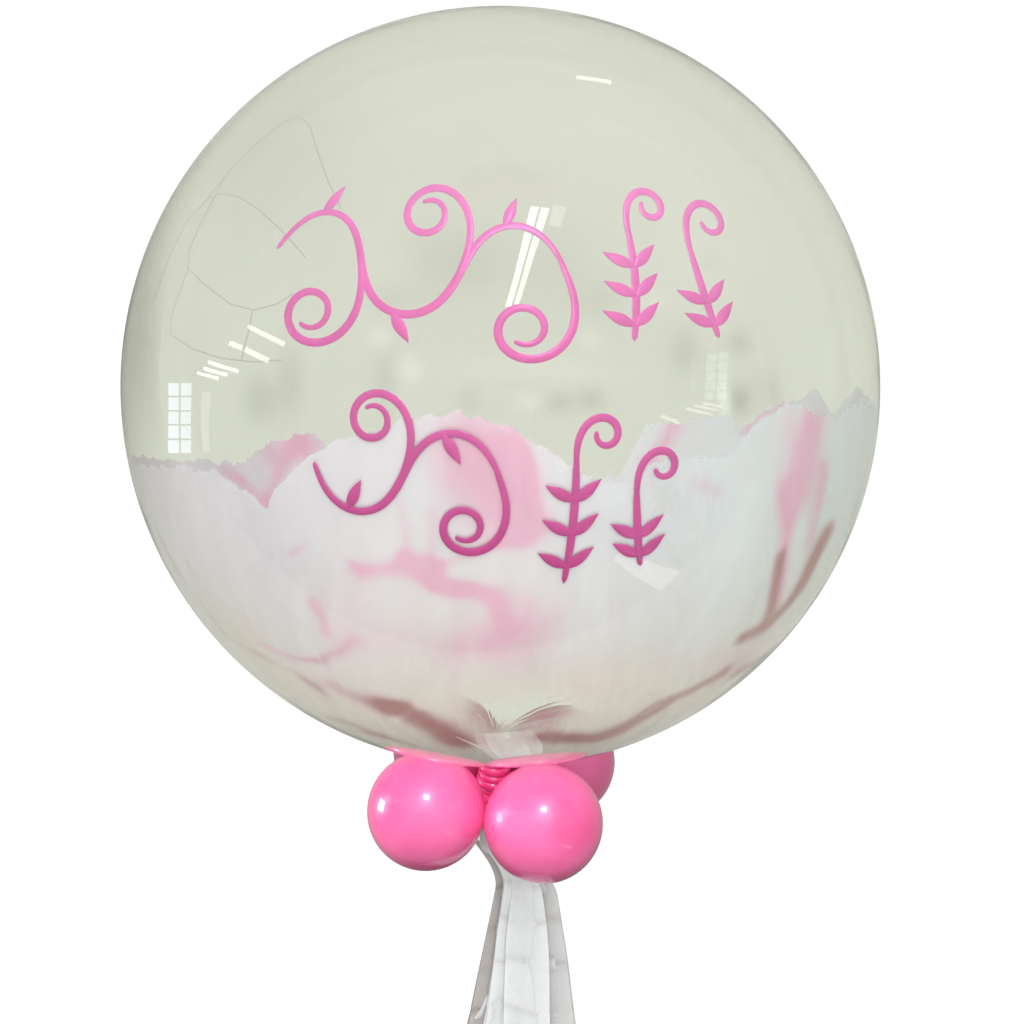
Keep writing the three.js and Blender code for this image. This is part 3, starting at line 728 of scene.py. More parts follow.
def paint_fields(points, longitude, latitude, radius, below):
    """What the material reads at each point: how pink and how opaque the coat is, its painted
    shade in brownish pink, how warm it is, its painted light towards the right, how far it lies
    below the edge, and its place on a map that is pressed together downwards, so that the
    patterns are drawn out that way. The washes waver, and the strokes are added."""
    pixel = CAMERA_DISTANCE / focal_pixels
    drift = STROKE_DRIFT * np.stack([ripple(points, 0.07, seed) for seed in (1, 2, 3)], 1)
    depth = np.clip(below / PAINT_DEPTH, 0, 1)
    fields = {
        "pink": 0.10 + 0.12 * ripple(points, 0.13, 4),
        # painted shade in brownish pink, stronger towards the funnel
        "dusky_shade": 0.18 * smooth_step(0.45, 1.0, depth) + 0.1 * ripple(points, 0.1, 5),
        "cover": 0.88 - 0.36 * smooth_step(0.35, 1.0, depth) + 0.1 * ripple(points, 0.12, 6),
        "warmth": smooth_step(0.1, 0.9, depth),
        # painted light: brighter and bluer towards the camera's right
        "cool_and_lit": smooth_step(-0.3, 0.7, points @ camera_right / BUBBLE_RADIUS),
        "below_edge": below,
    }
    for strokes, far in ((NEAR_STROKES, False), (FAR_STROKES, True)):
        for field, strength, half_width, pixels in strokes:
            path = pixel_on_film(pixels, far)
            fields[field] += strength * stroke_share(points + drift, path, half_width * pixel)
    near_funnel = smooth_step(-1.4 * FUNNEL_MOUTH, -0.8 * FUNNEL_MOUTH, -radius.ravel())
    fields["cover"] -= 0.55 * near_funnel
    around = np.broadcast_to(longitude, latitude.shape)
    fields["flow"] = np.stack([
        BUBBLE_RADIUS * np.cos(around) * 0.8, BUBBLE_RADIUS * np.sin(around) * 0.8,
        0.35 * BUBBLE_RADIUS * latitude], -1).reshape(-1, 3)
    return fields


def make_paint(material):
    """The coat, with columns that lie closer together on the decorated side, drawn in with the
    folds of the film and lifted off the ground by its own thickness."""
    turn = np.linspace(0, 2 * np.pi, PAINT_COLUMNS, endpoint=False)
    longitude = turn - PAINT_CROWDING * np.sin(turn)
    longitude = np.mod(longitude + np.pi, 2 * np.pi) - np.pi
    edge = paint_edge()(longitude)
    radius, height = paint_grid(longitude, edge)
    latitude = np.arctan2(height, radius)
    upright = np.stack([radius * np.sin(longitude), -radius * np.cos(longitude), height], -1)
    points = on_ground(laid(gathered(upright)), PAINT_INSET + PAINT_THICKNESS).reshape(-1, 3)
    quads = paint_quads(points, *latitude.shape)
    below = (BUBBLE_RADIUS * (edge - latitude)).ravel()
    fields = paint_fields(points, longitude, latitude, radius, below)
    piece = make_piece("marbled_paint_coat", [(points, [quads])], material, fields)
    give_wall(piece, PAINT_THICKNESS)
    piece.visible_shadow = False
    return piece


# The cut vinyl: flat strokes laid out along and up a row, then bent onto the film

SOFT_EDGE = 0.0004  # from a stroke's side in to its level top
LEAF_TIP_WIDTH = 0.0004
STROKE_STEP = 0.00002  # from one stroke of a scroll up to the next


def pen_line(start, heading, length, bend_from, bend_to, steps, ease=1.0):
    """A line from a start with a heading in degrees, whose bend goes evenly from one value to
    another, in degrees over its whole length: each step runs along the heading at its middle."""
    share = (np.arange(steps + 1) / steps) ** ease
    middle = (share[1:] + share[:-1]) / 2
    angle = np.radians(heading + bend_from * middle + (bend_to - bend_from) * middle**2 / 2)
    step = length * np.diff(share)[:, None] * np.stack([np.cos(angle), np.sin(angle)], 1)
    return np.concatenate([[start], start + np.cumsum(step, 0)])


def swing_line(start, swings, length, swing, steps):
    """A stem whose heading swings as a cosine, half a wave for each swing. Length is that of one
    swing, in as many steps."""
    share = (np.arange(swings * steps) + 0.5) / steps
    angle = np.radians(swing) * np.cos(np.pi * share)
    step = length / steps * np.stack([np.cos(angle), np.sin(angle)], 1)
    return np.concatenate([[start], start + np.cumsum(step, 0)])


def stroke_width(share):
    return STROKE_WIDTH * (0.45 + 0.55 * np.sqrt(np.sin(np.pi * share).clip(0)))


def leaf_width(share):
    return np.maximum(LEAF_TIP_WIDTH, LEAF_WIDTH * np.sin(np.pi * share**0.8))


def band(line, width_at, latitude, level):
    """A flat stroke along a line with softened edges and round ends, bent onto the film. Level
    lifts it a hair, so that strokes that cross don't lie in one face."""
    along = np.gradient(line, axis=0)
    pace = np.linalg.norm(along, axis=1, keepdims=True)
    along /= pace
    travelled = np.concatenate([[0], np.cumsum(np.linalg.norm(np.diff(line, axis=0), axis=1))])
    share = travelled / travelled[-1]
    half = width_at(share) / 2
    to_end = np.minimum(travelled, travelled[-1] - travelled)
    half = half * np.sqrt(1 - (1 - np.clip(to_end / np.maximum(half, 1e-5), 0.02, 1)) ** 2)
    soft = np.minimum(half * 0.3, SOFT_EDGE)
    across = np.stack([-half, -half, -half + soft, half - soft, half, half], 1)
    top = VINYL_THICKNESS + level
    height = np.array([0, 0.6 * top, top, top, 0.6 * top, 0])
    aside = np.stack([-along[:, 1], along[:, 0]], 1)
    flat = line[:, None] + across[..., None] * aside[:, None]
    east = flat[..., 0] / (BUBBLE_RADIUS * np.cos(latitude)) + FACE_TURN
    north = latitude + flat[..., 1] / BUBBLE_RADIUS
    radius = BUBBLE_RADIUS + VINYL_CLEARANCE + height
    upright = np.stack([
        radius * np.cos(north) * np.sin(east), -radius * np.cos(north) * np.cos(east),
        radius * np.sin(north)], -1)
    return tube(laid(upright))


def curl_line(root, heading, length, turn):
    """A curl that starts straight and winds itself up by turn degrees."""
    return pen_line(root, heading, length, 0, 2 * turn, 90, 0.6)


def leaf_line(root, heading):
    return pen_line(root, heading, LEAF_LENGTH, LEAF_BEND, -LEAF_BEND, 16)


def running_scroll(start, swings, swing_length, swing, curl_length, curl_turn):
    """A stem that swings up and down, with a curl on from each swing and a leaf outside it."""
    fine, coarse = 42, 7
    stem = swing_line(start, swings, swing_length, swing, fine)
    lines = [(stem, stroke_width)]
    for k in range(1, swings + 1):
        side = -1 if k % 2 == 0 else 1
        root = stem[k * fine - fine // coarse]
        lines.append((curl_line(root, -side * swing, curl_length, -side * curl_turn), stroke_width))
        leaf_root = stem[(k - 1) * fine + 3 * fine // coarse]
        lines.append((leaf_line(leaf_root, side * LEAF_HEADING), leaf_width))
    return lines


def sprig(start, height, pairs, lean, curl_length, curl_turn):
    """An upright stem with pairs of leaves and a curl at its top."""
    steps = 8
    stem = pen_line(start, 90 - lean, height, lean, lean, steps * 4)
    lines = [(stem, stroke_width)]
    for k in range(pairs):
        root = stem[4 * (1 + 2 * k)]
        for heading in (SPRIG_LEAF_HEADING, 180 - SPRIG_LEAF_HEADING):
            lines.append((leaf_line(root, heading), leaf_width))
    lines.append((curl_line(stem[-5], 90, curl_length, -curl_turn), stroke_width))
    return lines


def make_vinyl(material):
    """Two rows of scrolls. Places and lengths in a row are shares of the row's length."""
    rows = {
        "upper": (UPPER_ROW_LENGTH, UPPER_ROW_LATITUDE, {
            "long": (running_scroll, (-0.487, -0.02), 3, 0.3, 68, 0.56, 512),
            "sprig": (sprig, (0.24, -0.167), 0.24, 3, 12, 0.28, 403),
            "curl": (sprig, (0.413, -0.18), 0.193, 2, -10, 0.3, 369),
        }),
        "lower": (LOWER_ROW_LENGTH, LOWER_ROW_LATITUDE, {
            "long": (running_scroll, (-0.504, 0.043), 2, 0.365, -66, 0.652, -518),
            "sprig": (sprig, (0.174, -0.252), 0.374, 3, 8, 0.33, 388),
            "curl": (sprig, (0.383, -0.217), 0.226, 2, -10, 0.304, 357),
        }),
    }
    for row, (length, latitude, scrolls) in rows.items():
        for name, (draw, at, *form) in scrolls.items():
            start = np.array(at) * length
            if draw is running_scroll:
                swings, swing_length, swing, curl_length, curl_turn = form
                lines = draw(start, swings, swing_length * length, swing, curl_length * length,
                             curl_turn)
            else:
                height, pairs, lean, curl_length, curl_turn = form
                lines = draw(start, height * length, pairs, lean, curl_length * length, curl_turn)
            bands = [band(line, width, latitude, STROKE_STEP * k)
                     for k, (line, width) in enumerate(lines)]
            piece = make_piece(f"{row}_{name}_vinyl", bands, material)
            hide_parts(f"{row}_scroll_{name}")


# The collar of latex balloons


def latex_profile():
    """Distance along the neck's way from the balloon's middle, and radius: a round, a curve
    into the neck and a knot."""
    shoulder = np.arccos(3 * LATEX_NECK_RADIUS / SMALL_RADIUS)
    angle = np.linspace(-np.pi / 2, shoulder, 64)[1:]
    round_ = SMALL_RADIUS * np.stack([np.sin(angle), np.cos(angle)], 1)
    neck_end = SMALL_RADIUS + LATEX_NECK_LENGTH
    share = np.linspace(0, 1, 12)[1:, None]
    bend, end = np.array([SMALL_RADIUS, LATEX_NECK_RADIUS]), np.array([neck_end, LATEX_NECK_RADIUS])
    neck = round_[-1] * (1 - share) ** 2 + bend * 2 * share * (1 - share) + end * share**2
    across = np.linspace(0, np.pi, 12)[1:]
    knot = np.stack([
        neck_end + KNOT_LENGTH * (1 - np.cos(across)) / 2,
        LATEX_NECK_RADIUS + (KNOT_RADIUS - LATEX_NECK_RADIUS) * np.sin(across)], 1)
    return np.concatenate([round_, neck, knot])


def latex_balloon(quarter):
    """Body, knot, and the tail of latex beyond the knot, which leans into the gap beside the
    next balloon and ends in a rolled rim. Also how thick the latex is at each point."""
    profile = latex_profile()
    neck_way = np.array([-np.cos(LATEX_NECK_DIP), 0, -np.sin(LATEX_NECK_DIP)])
    aside = np.array([0.0, 1.0, 0.0])
    above = np.cross(neck_way, aside)
    turn = np.linspace(0, 2 * np.pi, 72, endpoint=False)
    round_ = np.cos(turn)[:, None] * aside + np.sin(turn)[:, None] * above
    middle = np.array([collar_ring, 0, 0])
    rings = middle + profile[:, :1, None] * neck_way + profile[:, 1:, None] * round_
    gap = np.array([np.sqrt(0.5), np.sqrt(0.5), 0])
    knot = np.array([knot_ring, 0, -knot_drop])
    bend = gap * (knot_ring + LATEX_TAIL_REACH / 3) - [0, 0, knot_drop + 0.001]
    end = gap * (knot_ring + LATEX_TAIL_REACH) - [0, 0, knot_drop - KNOT_RADIUS]
    share = np.linspace(0, 1, 20)[:, None]
    path = knot * (1 - share) ** 2 + bend * 2 * share * (1 - share) + end * share**2
    radii = LATEX_TAIL_RADIUS * (1 - 0.25 * np.sin(np.pi * share[:, 0]))
    roll = np.linspace(0, np.pi, 10)
    rim_path = end + np.cos(roll)[::-1, None] * gap * RIM_RADIUS * 0.55
    rim_radii = RIM_RADIUS * np.maximum(0.25, np.sin(roll)) ** 0.5
    parts = [tube(rings), swept(path, radii), swept(rim_path, rim_radii, 14)]
    angle = np.pi / 4 + quarter * np.pi / 2
    cosine, sine = np.cos(angle), np.sin(angle)
    turned = np.array([[cosine, sine, 0], [-sine, cosine, 0], [0, 0, 1]])
    placed = []
    thick = []
    for points, faces in parts:
        reach = (points - middle) @ neck_way
        neck = smooth_step(0.6 * SMALL_RADIUS, SMALL_RADIUS + LATEX_NECK_LENGTH, reach)
        crown = 0.35 * smooth_step(0.80 * SMALL_RADIUS, 0.99 * SMALL_RADIUS, -reach)
        thick.append(neck + crown)
        whole = points @ turned - [0, 0, collar_drop]
        placed.append((on_ground(laid(whole)), faces))
    thick[1:] = [np.ones(len(values)) for values in thick[1:]]
    return placed, np.concatenate(thick)


def latex_wrap():
    """The stretched necks of the four, wound round the film's tail in one coil."""
    drop = np.linspace(tie_drop + WRAP_START, collar_drop + WRAP_END, 320)
    turn = (drop - drop[0]) / WRAP_PITCH * 2 * np.pi
    radius = TAIL_RADIUS + WRAP_RADIUS * 0.7 + 0.001 * np.sin(turn / 3.3)
    path = laid(np.stack([radius * np.cos(turn), radius * np.sin(turn), -drop], 1))
    return swept(path, WRAP_RADIUS * (1 + 0.15 * np.sin(turn / 2.1)), 12)


def make_collar(material):
    """The four, back ones first. The coil belongs to the last."""
    pieces = []
    for quarter, name in enumerate(("back_right", "back_left", "front_left", "front_right")):
        parts, thick = latex_balloon(quarter)
        if name == "front_right":
            parts.append(latex_wrap())
            thick = np.concatenate([thick, np.full(len(parts[-1][0]), 0.8)])
        piece = make_piece(f"latex_balloon_{name}", parts, material, {"thick": thick})
        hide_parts(f"collar_balloon_{name}")
        pieces.append(piece)
    return pieces


# The tassel

# Layers from below: level, strips and their width. On them: place, level, width and lean.
UNDER_LAYERS = [(0.0, 8, 0.018), (0.3, 7, 0.020), (0.55, 6, 0.022)]
TOP_STRIPS = [(-1.0, 0.30, 0.015, 0.15), (1.0, 0.70, 0.034, 0.22), (0.36, 0.85, 0.026, 0.15),
              (-0.04, 0.90, 0.030, -0.10), (-0.50, 1.0, 0.028, 0.06)]

FRINGE_DRIFT = 0.007  # to one side, beyond the sway
STRIP_FOLD = 0.0028  # height of the fold along a strip
STRIP_WANDER = 0.0012  # a strip's own way to the sides
STRIP_DRAPE = 0.0008  # height of its slow waves
CREASE_STEP = 0.115  # from crease to crease, as a share of the strip
CREASE_HEIGHT = 0.0028
CREASE_WIDTH = 0.0045
CREASE_SHADE_WIDTH = 0.0025
LOWEST_PAPER = 0.0004  # above the ground
STRAY_WIDTH = 0.010

# How much painted shade greys the head, the strips at the left side and those towards the right
HEAD_SHADE = 0.3
LEFT_SHADE = 0.72
RIGHT_SHADE = 0.34

tassel_head = laid([0, 0, -head_drop])
tail_way = laid([0, 0, -1]) - bubble_middle


def sway(distance):
    """How far the fringe lies to one side, for a distance along it."""
    return TASSEL_SWAY * np.sin(np.pi / 2 * np.minimum(1, distance / TASSEL_SWAY_LENGTH))


def fringe_width(share):
    return TASSEL_TOP_WIDTH + (TASSEL_END_WIDTH - TASSEL_TOP_WIDTH) * np.sin(np.pi / 2 * share)


def underside_height(distance, start_height):
    """A cubic that leaves along the film's tail and meets the ground level."""
    share = np.minimum(1, distance / TASSEL_FALL)
    fall = 2 * share**3 - 3 * share**2 + 1
    lead = share**3 - 2 * share**2 + share
    return np.maximum(0, start_height * fall - np.tan(axis_rise) * TASSEL_FALL * lead)


def paper_strip(place, level, width, length, rng, lean=0.0, reach=0.0):
    """One strip of tissue, folded along, creased across and leaning to one side, and the painted
    shade along its creases, at its points. Its place goes from -1 to 1 across the fringe, its
    level from 0 to 1 up through the layers, and its end is drawn to the side by its reach."""
    share = np.linspace(0, 1, 120)[:, None]
    across = np.linspace(-1, 1, 11)[None, :]
    distance = TASSEL_HEAD_LENGTH / 2 + share * length
    lift = TASSEL_TOP_THICKNESS / 2
    under = underside_height(distance, tassel_head[2] - lift)
    flatness = np.sin(np.pi / 2 * share)
    crown = np.sqrt(1 - 0.85 * place**2)
    thinning = TASSEL_TOP_THICKNESS - TASSEL_END_THICKNESS
    thick = TASSEL_END_THICKNESS + thinning * (1 - flatness) * crown
    spread = 0.45 + 0.55 * smooth_step(0, 0.3, share)
    half = width / 2 * spread
    room = fringe_width(share) / 2 - half
    wave = share * rng.uniform(0.8, 1.8) + rng.uniform()
    wander = STRIP_WANDER * np.sin(2 * np.pi * wave) * share
    drift = FRINGE_DRIFT * np.minimum(1, 2 * share) ** 1.5
    middle = place * room + sway(share * length) + drift + wander - reach * share**1.6
    fold = rng.uniform(0.4, 1.0) * rng.choice([-1, 1])
    crest = rng.uniform(-0.5, 0.5) + 0.3 * np.sin(2 * np.pi * (share * 0.7 + rng.uniform()))
    folded = (1 - np.abs(across - crest)) * STRIP_FOLD * fold * spread + lean * across * half
    drape = STRIP_DRAPE * np.sin(2 * np.pi * (share * rng.uniform(1, 2.5) + 0.3 * across))
    creases = np.zeros_like(share * across)
    crease_shade = np.zeros_like(creases)
    for at in np.arange(0.10, 0.98, CREASE_STEP) + rng.uniform(-0.02, 0.02):
        size = rng.uniform(-CREASE_HEIGHT, CREASE_HEIGHT)
        line = at + rng.uniform(-0.012, 0.012) * across + rng.uniform(-0.01, 0.01)
        away = -np.abs(share - line) * length
        creases += size * np.exp(away / CREASE_WIDTH)
        # Painted shade along each crease.
        crease_shade += rng.uniform(0.05, 0.35) * np.exp(away / CREASE_SHADE_WIDTH)
    height = under + LOWEST_PAPER + thick * (0.12 + 0.8 * level) + folded + drape + creases
    height = np.maximum(height, LOWEST_PAPER + 0.0006 * level)
    x = middle + across * half
    y = np.broadcast_to(tassel_head[1] - distance, x.shape)
    top = np.stack([x, y, height + PAPER_THICKNESS], -1)
    bottom = np.stack([x, y, height], -1)
    crease_shade = np.concatenate([crease_shade, crease_shade[:, ::-1]], 1).ravel()
    return tube(np.concatenate([top, bottom[:, ::-1]], 1)), np.concatenate([crease_shade, [0, 0]])


def paper_head():
    """Tissue twisted tightly round the film's tail: a capsule with slanting ridges."""
    share = np.linspace(0, 1, 40)
    reach = TASSEL_HEAD_LENGTH / 2 + TASSEL_HEAD_RADIUS
    along = (2 * share - 1) * reach
    past = np.clip((np.abs(along) - TASSEL_HEAD_LENGTH / 2) / TASSEL_HEAD_RADIUS, 0, 1)
    radius = np.maximum(TASSEL_HEAD_RADIUS * np.sqrt(1 - past**2), 0.0035)
    turn = np.linspace(0, 2 * np.pi, 72, endpoint=False)
    slant = turn + 2.4 * share[:, None]
    ridges = 1 - 0.07 * (1 - np.abs(np.sin(4.5 * slant))) - 0.03 * np.sin(13 * slant)
    aside = np.array([1.0, 0, 0])
    above = np.cross(tail_way, aside)
    round_ = np.cos(turn)[:, None] * aside + np.sin(turn)[:, None] * above
    rings = tassel_head + along[:, None, None] * tail_way
    return tube(rings + (radius[:, None] * ridges)[..., None] * round_)


def make_tassel(material):
    """The head, three layers of strips, the top ones and the stray one."""
    rng = np.random.default_rng(7)
    parts = [paper_head()]
    shades = [np.full(len(parts[0][0]), HEAD_SHADE)]
    strips = [(place, level, width, 0.0) for level, count, width in UNDER_LAYERS
              for place in np.linspace(-1, 1, count)]
    for place, level, width, lean in strips + TOP_STRIPS:
        length = TASSEL_LENGTH + rng.uniform(-0.014, 0.011)
        part, crease_shade = paper_strip(place, level, width, length, rng, lean)
        parts.append(part)
        # Painted shade on the strips at the left side and towards the right.
        to_right = RIGHT_SHADE * smooth_step(0.3, 1.0, place)
        shades.append(crease_shade + (LEFT_SHADE if place == -1 else to_right))
    stray_reach = TASSEL_END_WIDTH / 2 + STRAY_STRIP_REACH
    part, crease_shade = paper_strip(0.0, 0.1, STRAY_WIDTH, STRAY_STRIP_LENGTH, rng, 0.0, stray_reach)
    parts.append(part)
    shades.append(crease_shade)
    shaded = np.clip(np.concatenate(shades), 0, 1)
    piece = make_piece("tissue_paper_tassel", parts, material, {"shaded": shaded})
    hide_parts("tissue_tassel")
    return piece


# The studio

FLOOR_REACH = 6.0  # half of the ground's width
FLOOR_DROP = 0.0006  # from one sheet of ground down to the next
SEEN_FLOOR = 1.06  # radiance of the white ground in the picture and through the film
MIRRORED_FLOOR = 0.62  # as the pieces mirror it
LIT_BY_FLOOR = 0.26  # as it lights them
WHITE = "#FFFFFF"
MIRRORED_WHITE = "#F8FAEC"

# The ground is several sheets of light, each met by its own kind of rays. This is how far below
# the ground each of them lies, in steps of FLOOR_DROP.
FLOOR_LEVELS = {
    "seen_floor": 1, "mirrored_near": 1.5, "mirrored_floor": 2, "room_line": 2.5,
    "room_floor": 3, "lighting_floor": 3, "mirrored_through": 3.5, "far_floor": 4}
RAYS = ("camera", "diffuse", "glossy", "transmission", "volume_scatter", "shadow")

# What the film mirrors: the corners of each panel in pixels, and how far away the lamps, the
# tubes and the window are.
LAMP_DISTANCE = 1.8
TUBE_DISTANCE = 1.2
WINDOW_DISTANCE = 0.65
STREAK = [(531, 207), (539, 207), (511, 308), (505, 308)]
SECOND_STREAK = [(541, 207), (549, 208), (518, 309), (513, 308)]
SHORT_STREAK = [(553, 205), (566, 207), (560, 227), (548, 225)]
TOP_GLINT = [(576, 75), (611, 80), (611, 84), (576, 79)]
TUBES = [
    [(249, 324), (285, 343), (283, 348), (247, 328)],
    [(230, 340), (243, 345), (242, 350), (228, 345)],
    [(246, 346), (270, 358), (268, 363), (244, 351)],
    [(208, 359), (239, 369), (238, 373), (207, 363)],
    [(203, 366), (228, 373), (227, 377), (202, 370)],
    [(197, 371), (219, 377), (218, 381), (196, 374)],
]
SOFT_GLINT = [(621, 549), (681, 571), (660, 592), (613, 560)]
LIGHT_COLUMN = [(202, 392), (211, 394), (209, 452), (203, 452)]
WINDOW = (168, 382, 192, 454)
WINDOW_PANES = (2, 5)
BAR_ACROSS = 0.08  # what a bar hides at each side of a pane, and at its top and bottom
BAR_DOWN = 0.06

# The room as it is seen through the film: middle and half widths in pixels, and how much
# brighter or darker it is there.
ROOM_TONES = [
    (250, 130, 100, 120, -0.12), (155, 300, 34, 160, -0.06), (455, 262, 62, 38, -0.12),
    (560, 265, 34, 40, -0.06), (385, 280, 34, 60, 0.06), (390, 300, 24, 20, -0.10),
    (260, 400, 18, 26, -0.20), (290, 380, 14, 34, -0.16), (385, 380, 12, 34, -0.12),
    (410, 370, 12, 14, 0.16), (380, 338, 12, 10, 0.12), (530, 368, 90, 14, 0.08),
    (470, 400, 14, 14, -0.10), (530, 402, 14, 10, 0.10), (560, 402, 16, 12, -0.16),
    (592, 400, 14, 12, -0.16), (685, 352, 16, 24, -0.16), (740, 342, 12, 14, -0.16),
    (740, 400, 11, 16, -0.28), (725, 402, 6, 20, 0.25), (770, 390, 16, 20, -0.10),
    (600, 300, 26, 18, -0.08), (590, 340, 12, 10, 0.10), (690, 250, 40, 60, 0.04),
    (650, 300, 16, 10, 0.06), (710, 262, 8, 8, -0.08), (600, 140, 120, 60, 0.02)]

# A faint ring by its radius, half width and change, and thin lines, in pixels too.
ROOM_RING = (346, 5, -0.05)
ROOM_LINES = [
    [(150, 306), (157, 286), (167, 257), (184, 222), (206, 198), (232, 166), (258, 140),
     (283, 121), (299, 116), (309, 125), (317, 151), (327, 179), (341, 208)],
    [(206, 198), (220, 193), (238, 196), (258, 209), (283, 232), (306, 258)],
    [(222, 180), (199, 224), (188, 250), (187, 268), (178, 293), (170, 316), (169, 334),
     (192, 349), (220, 358), (253, 362), (283, 360)],
    [(187, 268), (202, 283), (230, 304), (253, 310), (276, 304), (294, 293)],
    [(252, 311), (248, 332), (241, 360)],
]
ROOM_LINE_WIDTH = 1.3
ROOM_LINE_RADIANCE = 0.74
ROOM_HALF_WIDTH = 420  # in pixels, a little more than the bubble's
ROOM_STEPS = 300

# The ground as the film and the latex mirror it: middle and half widths in metres, and the
# share by which it is brighter or darker there. The darker patches are painted shade, near
# the collar and to the left.
MIRRORED_TONES = [(-1.0, 0.12, 0.55, 0.26, -0.80), (0.0, -0.50, 0.20, 0.26, -0.90)]
MIRRORED_REACH = 1.6
MIRRORED_STEPS = 200

SOFTBOX_DISTANCE = 2.4
SOFTBOX_WIDTH = 1.6
SOFTBOX_RADIANCE = 1.8
WORLD_STRENGTHS = (0.32, 0.98)  # from the dimmest way to the brightest
LIGHT_BOUNCES = 24


def put_in_studio(name, mesh, material, seen_by):
    """Puts a sheet of light in the studio, met only by these kinds of rays."""
    material.cycles.emission_sampling = "NONE"
    mesh.materials.append(material)
    panel = bpy.data.objects.new(name, mesh)
    bpy.context.scene.collection.objects.link(panel)
    for ray in RAYS:
        setattr(panel, f"visible_{ray}", ray in seen_by)


def glowing(name, corners, colour, radiance, seen_by):
    """A flat panel of even light."""
    mesh = bpy.data.meshes.new(name)
    mesh.from_pydata(np.asarray(corners, float).tolist(), [], [tuple(range(len(corners)))])
    material, _, _ = new_material(name, {
        "Base Color": linear("#000000"), "Roughness": 1.0, "Specular IOR Level": 0.0,
        "Emission Color": linear(colour), "Emission Strength": radiance})
    put_in_studio(name, mesh, material, seen_by)


def floor_level(name):
    return -FLOOR_LEVELS[name] * FLOOR_DROP


def make_floor():
    """White ground, shadowless in the picture. The pieces are lit by a dimmer one and mirror a
    dimmer one, as in a room whose light comes from above. The far one is seen through the film,
    beyond the room's shades."""
    corners = FLOOR_REACH * np.array([(-1, -1), (1, -1), (1, 1), (-1, 1)])
    for name, colour, radiance, seen_by in (
            ("seen_floor", WHITE, SEEN_FLOOR, ("camera",)),
            ("mirrored_floor", MIRRORED_WHITE, MIRRORED_FLOOR, ("glossy",)),
            ("far_floor", WHITE, SEEN_FLOOR, ("transmission",)),
            ("lighting_floor", WHITE, LIT_BY_FLOOR, ("diffuse", "shadow"))):
        ground = np.column_stack([corners, np.full(4, floor_level(name))])
        glowing(name, ground, colour, radiance, seen_by)


def pixel_on_floor(pixels, level):
    """Where the sight line of each pixel meets a level."""
    line = sight_lines(pixels)
    return camera_place + line * ((level - camera_place[2]) / line[:, 2])[:, None]


def toned_floor(name, points, steps, colour, tone, seen_by):
    """A square grid of ground whose radiance goes smoothly from point to point."""
    row = np.arange(steps - 1)
    corner = (row[:, None] * steps + row).ravel()
    quads = np.stack([corner, corner + 1, corner + 1 + steps, corner + steps], 1)
    mesh = bpy.data.meshes.new(name)
    mesh.from_pydata(points.tolist(), [], quads.tolist())
    mesh.attributes.new("tone", "FLOAT", "POINT").data.foreach_set("value", tone)
    material, tree, shader = new_material(name, {
        "Base Color": linear("#000000"), "Specular IOR Level": 0.0,
        "Emission Color": linear(colour)})
    tone_node = add_node(tree, "Attribute", attribute_name="tone")
    tree.links.new(tone_node.outputs["Fac"], shader.inputs["Emission Strength"])
    put_in_studio(name, mesh, material, seen_by)


def blobs(x, y, tones):
    """The sum of soft round patches."""
    total = np.zeros(len(x))
    for middle_x, middle_y, half_x, half_y, change in tones:
        square = ((x - middle_x) / half_x) ** 2 + ((y - middle_y) / half_y) ** 2
        total += change * np.exp(-square)
    return total


def make_room_floor():
    """The ground behind the bubble as the film shows it, with the soft shades and the thin lines
    of a room."""
    middle_x, middle_y = BUBBLE_PIXEL
    across = np.linspace(middle_x - ROOM_HALF_WIDTH, middle_x + ROOM_HALF_WIDTH, ROOM_STEPS)
    down = np.linspace(middle_y - ROOM_HALF_WIDTH, middle_y + ROOM_HALF_WIDTH, ROOM_STEPS)
    x, y = (grid.ravel() for grid in np.meshgrid(across, down))
    radius, half_width, change = ROOM_RING
    ring = np.hypot(x - middle_x, y - middle_y) - radius
    tone = SEEN_FLOOR + blobs(x, y, ROOM_TONES) + change * np.exp(-((ring / half_width) ** 2))
    points = pixel_on_floor(np.column_stack([x, y]), floor_level("room_floor"))
    toned_floor("room_floor", points, ROOM_STEPS, WHITE, tone, ("transmission",))
    for k, line in enumerate(ROOM_LINES):
        line = np.array(line, float)
        along = np.gradient(line, axis=0)
        aside = np.stack([-along[:, 1], along[:, 0]], 1) / np.linalg.norm(along, axis=1)[:, None]
        half = ROOM_LINE_WIDTH / 2
        strip = np.concatenate([line + half * aside, (line - half * aside)[::-1]])
        corners = pixel_on_floor(strip, floor_level("room_line"))
        glowing(f"room_line_{k}", corners, WHITE, ROOM_LINE_RADIANCE, ("transmission",))


def make_mirrored_ground():
    """The ground that the film and the latex mirror, with its dark patches of painted shade. What
    the inner face of the film mirrors leaves it as a transmission ray, so the ground is there
    twice."""
    place = np.linspace(-MIRRORED_REACH, MIRRORED_REACH, MIRRORED_STEPS)
    x, y = (grid.ravel() for grid in np.meshgrid(place, place))
    shares = 1 + blobs(x, y, MIRRORED_TONES)
    for name, colour, radiance, seen_by in (
            ("mirrored_near", MIRRORED_WHITE, MIRRORED_FLOOR, ("glossy",)),
            ("mirrored_through", "#FAFBF2", 0.94 * SEEN_FLOOR, ("transmission",))):
        points = np.column_stack([x, y, np.full(len(x), floor_level(name))])
        toned_floor(name, points, MIRRORED_STEPS, colour, radiance * shares, seen_by)


def mirrored(pixels, distance):
    """Places at a distance from the film, each where the film mirrors it at its pixel."""
    spots = pixel_on_film(pixels)
    places = []
    for spot in spots:
        normal = unit(spot - bubble_middle)
        view = unit(camera_place - spot)
        places.append(spot + distance * (2 * (normal @ view) * normal - view))
    return places


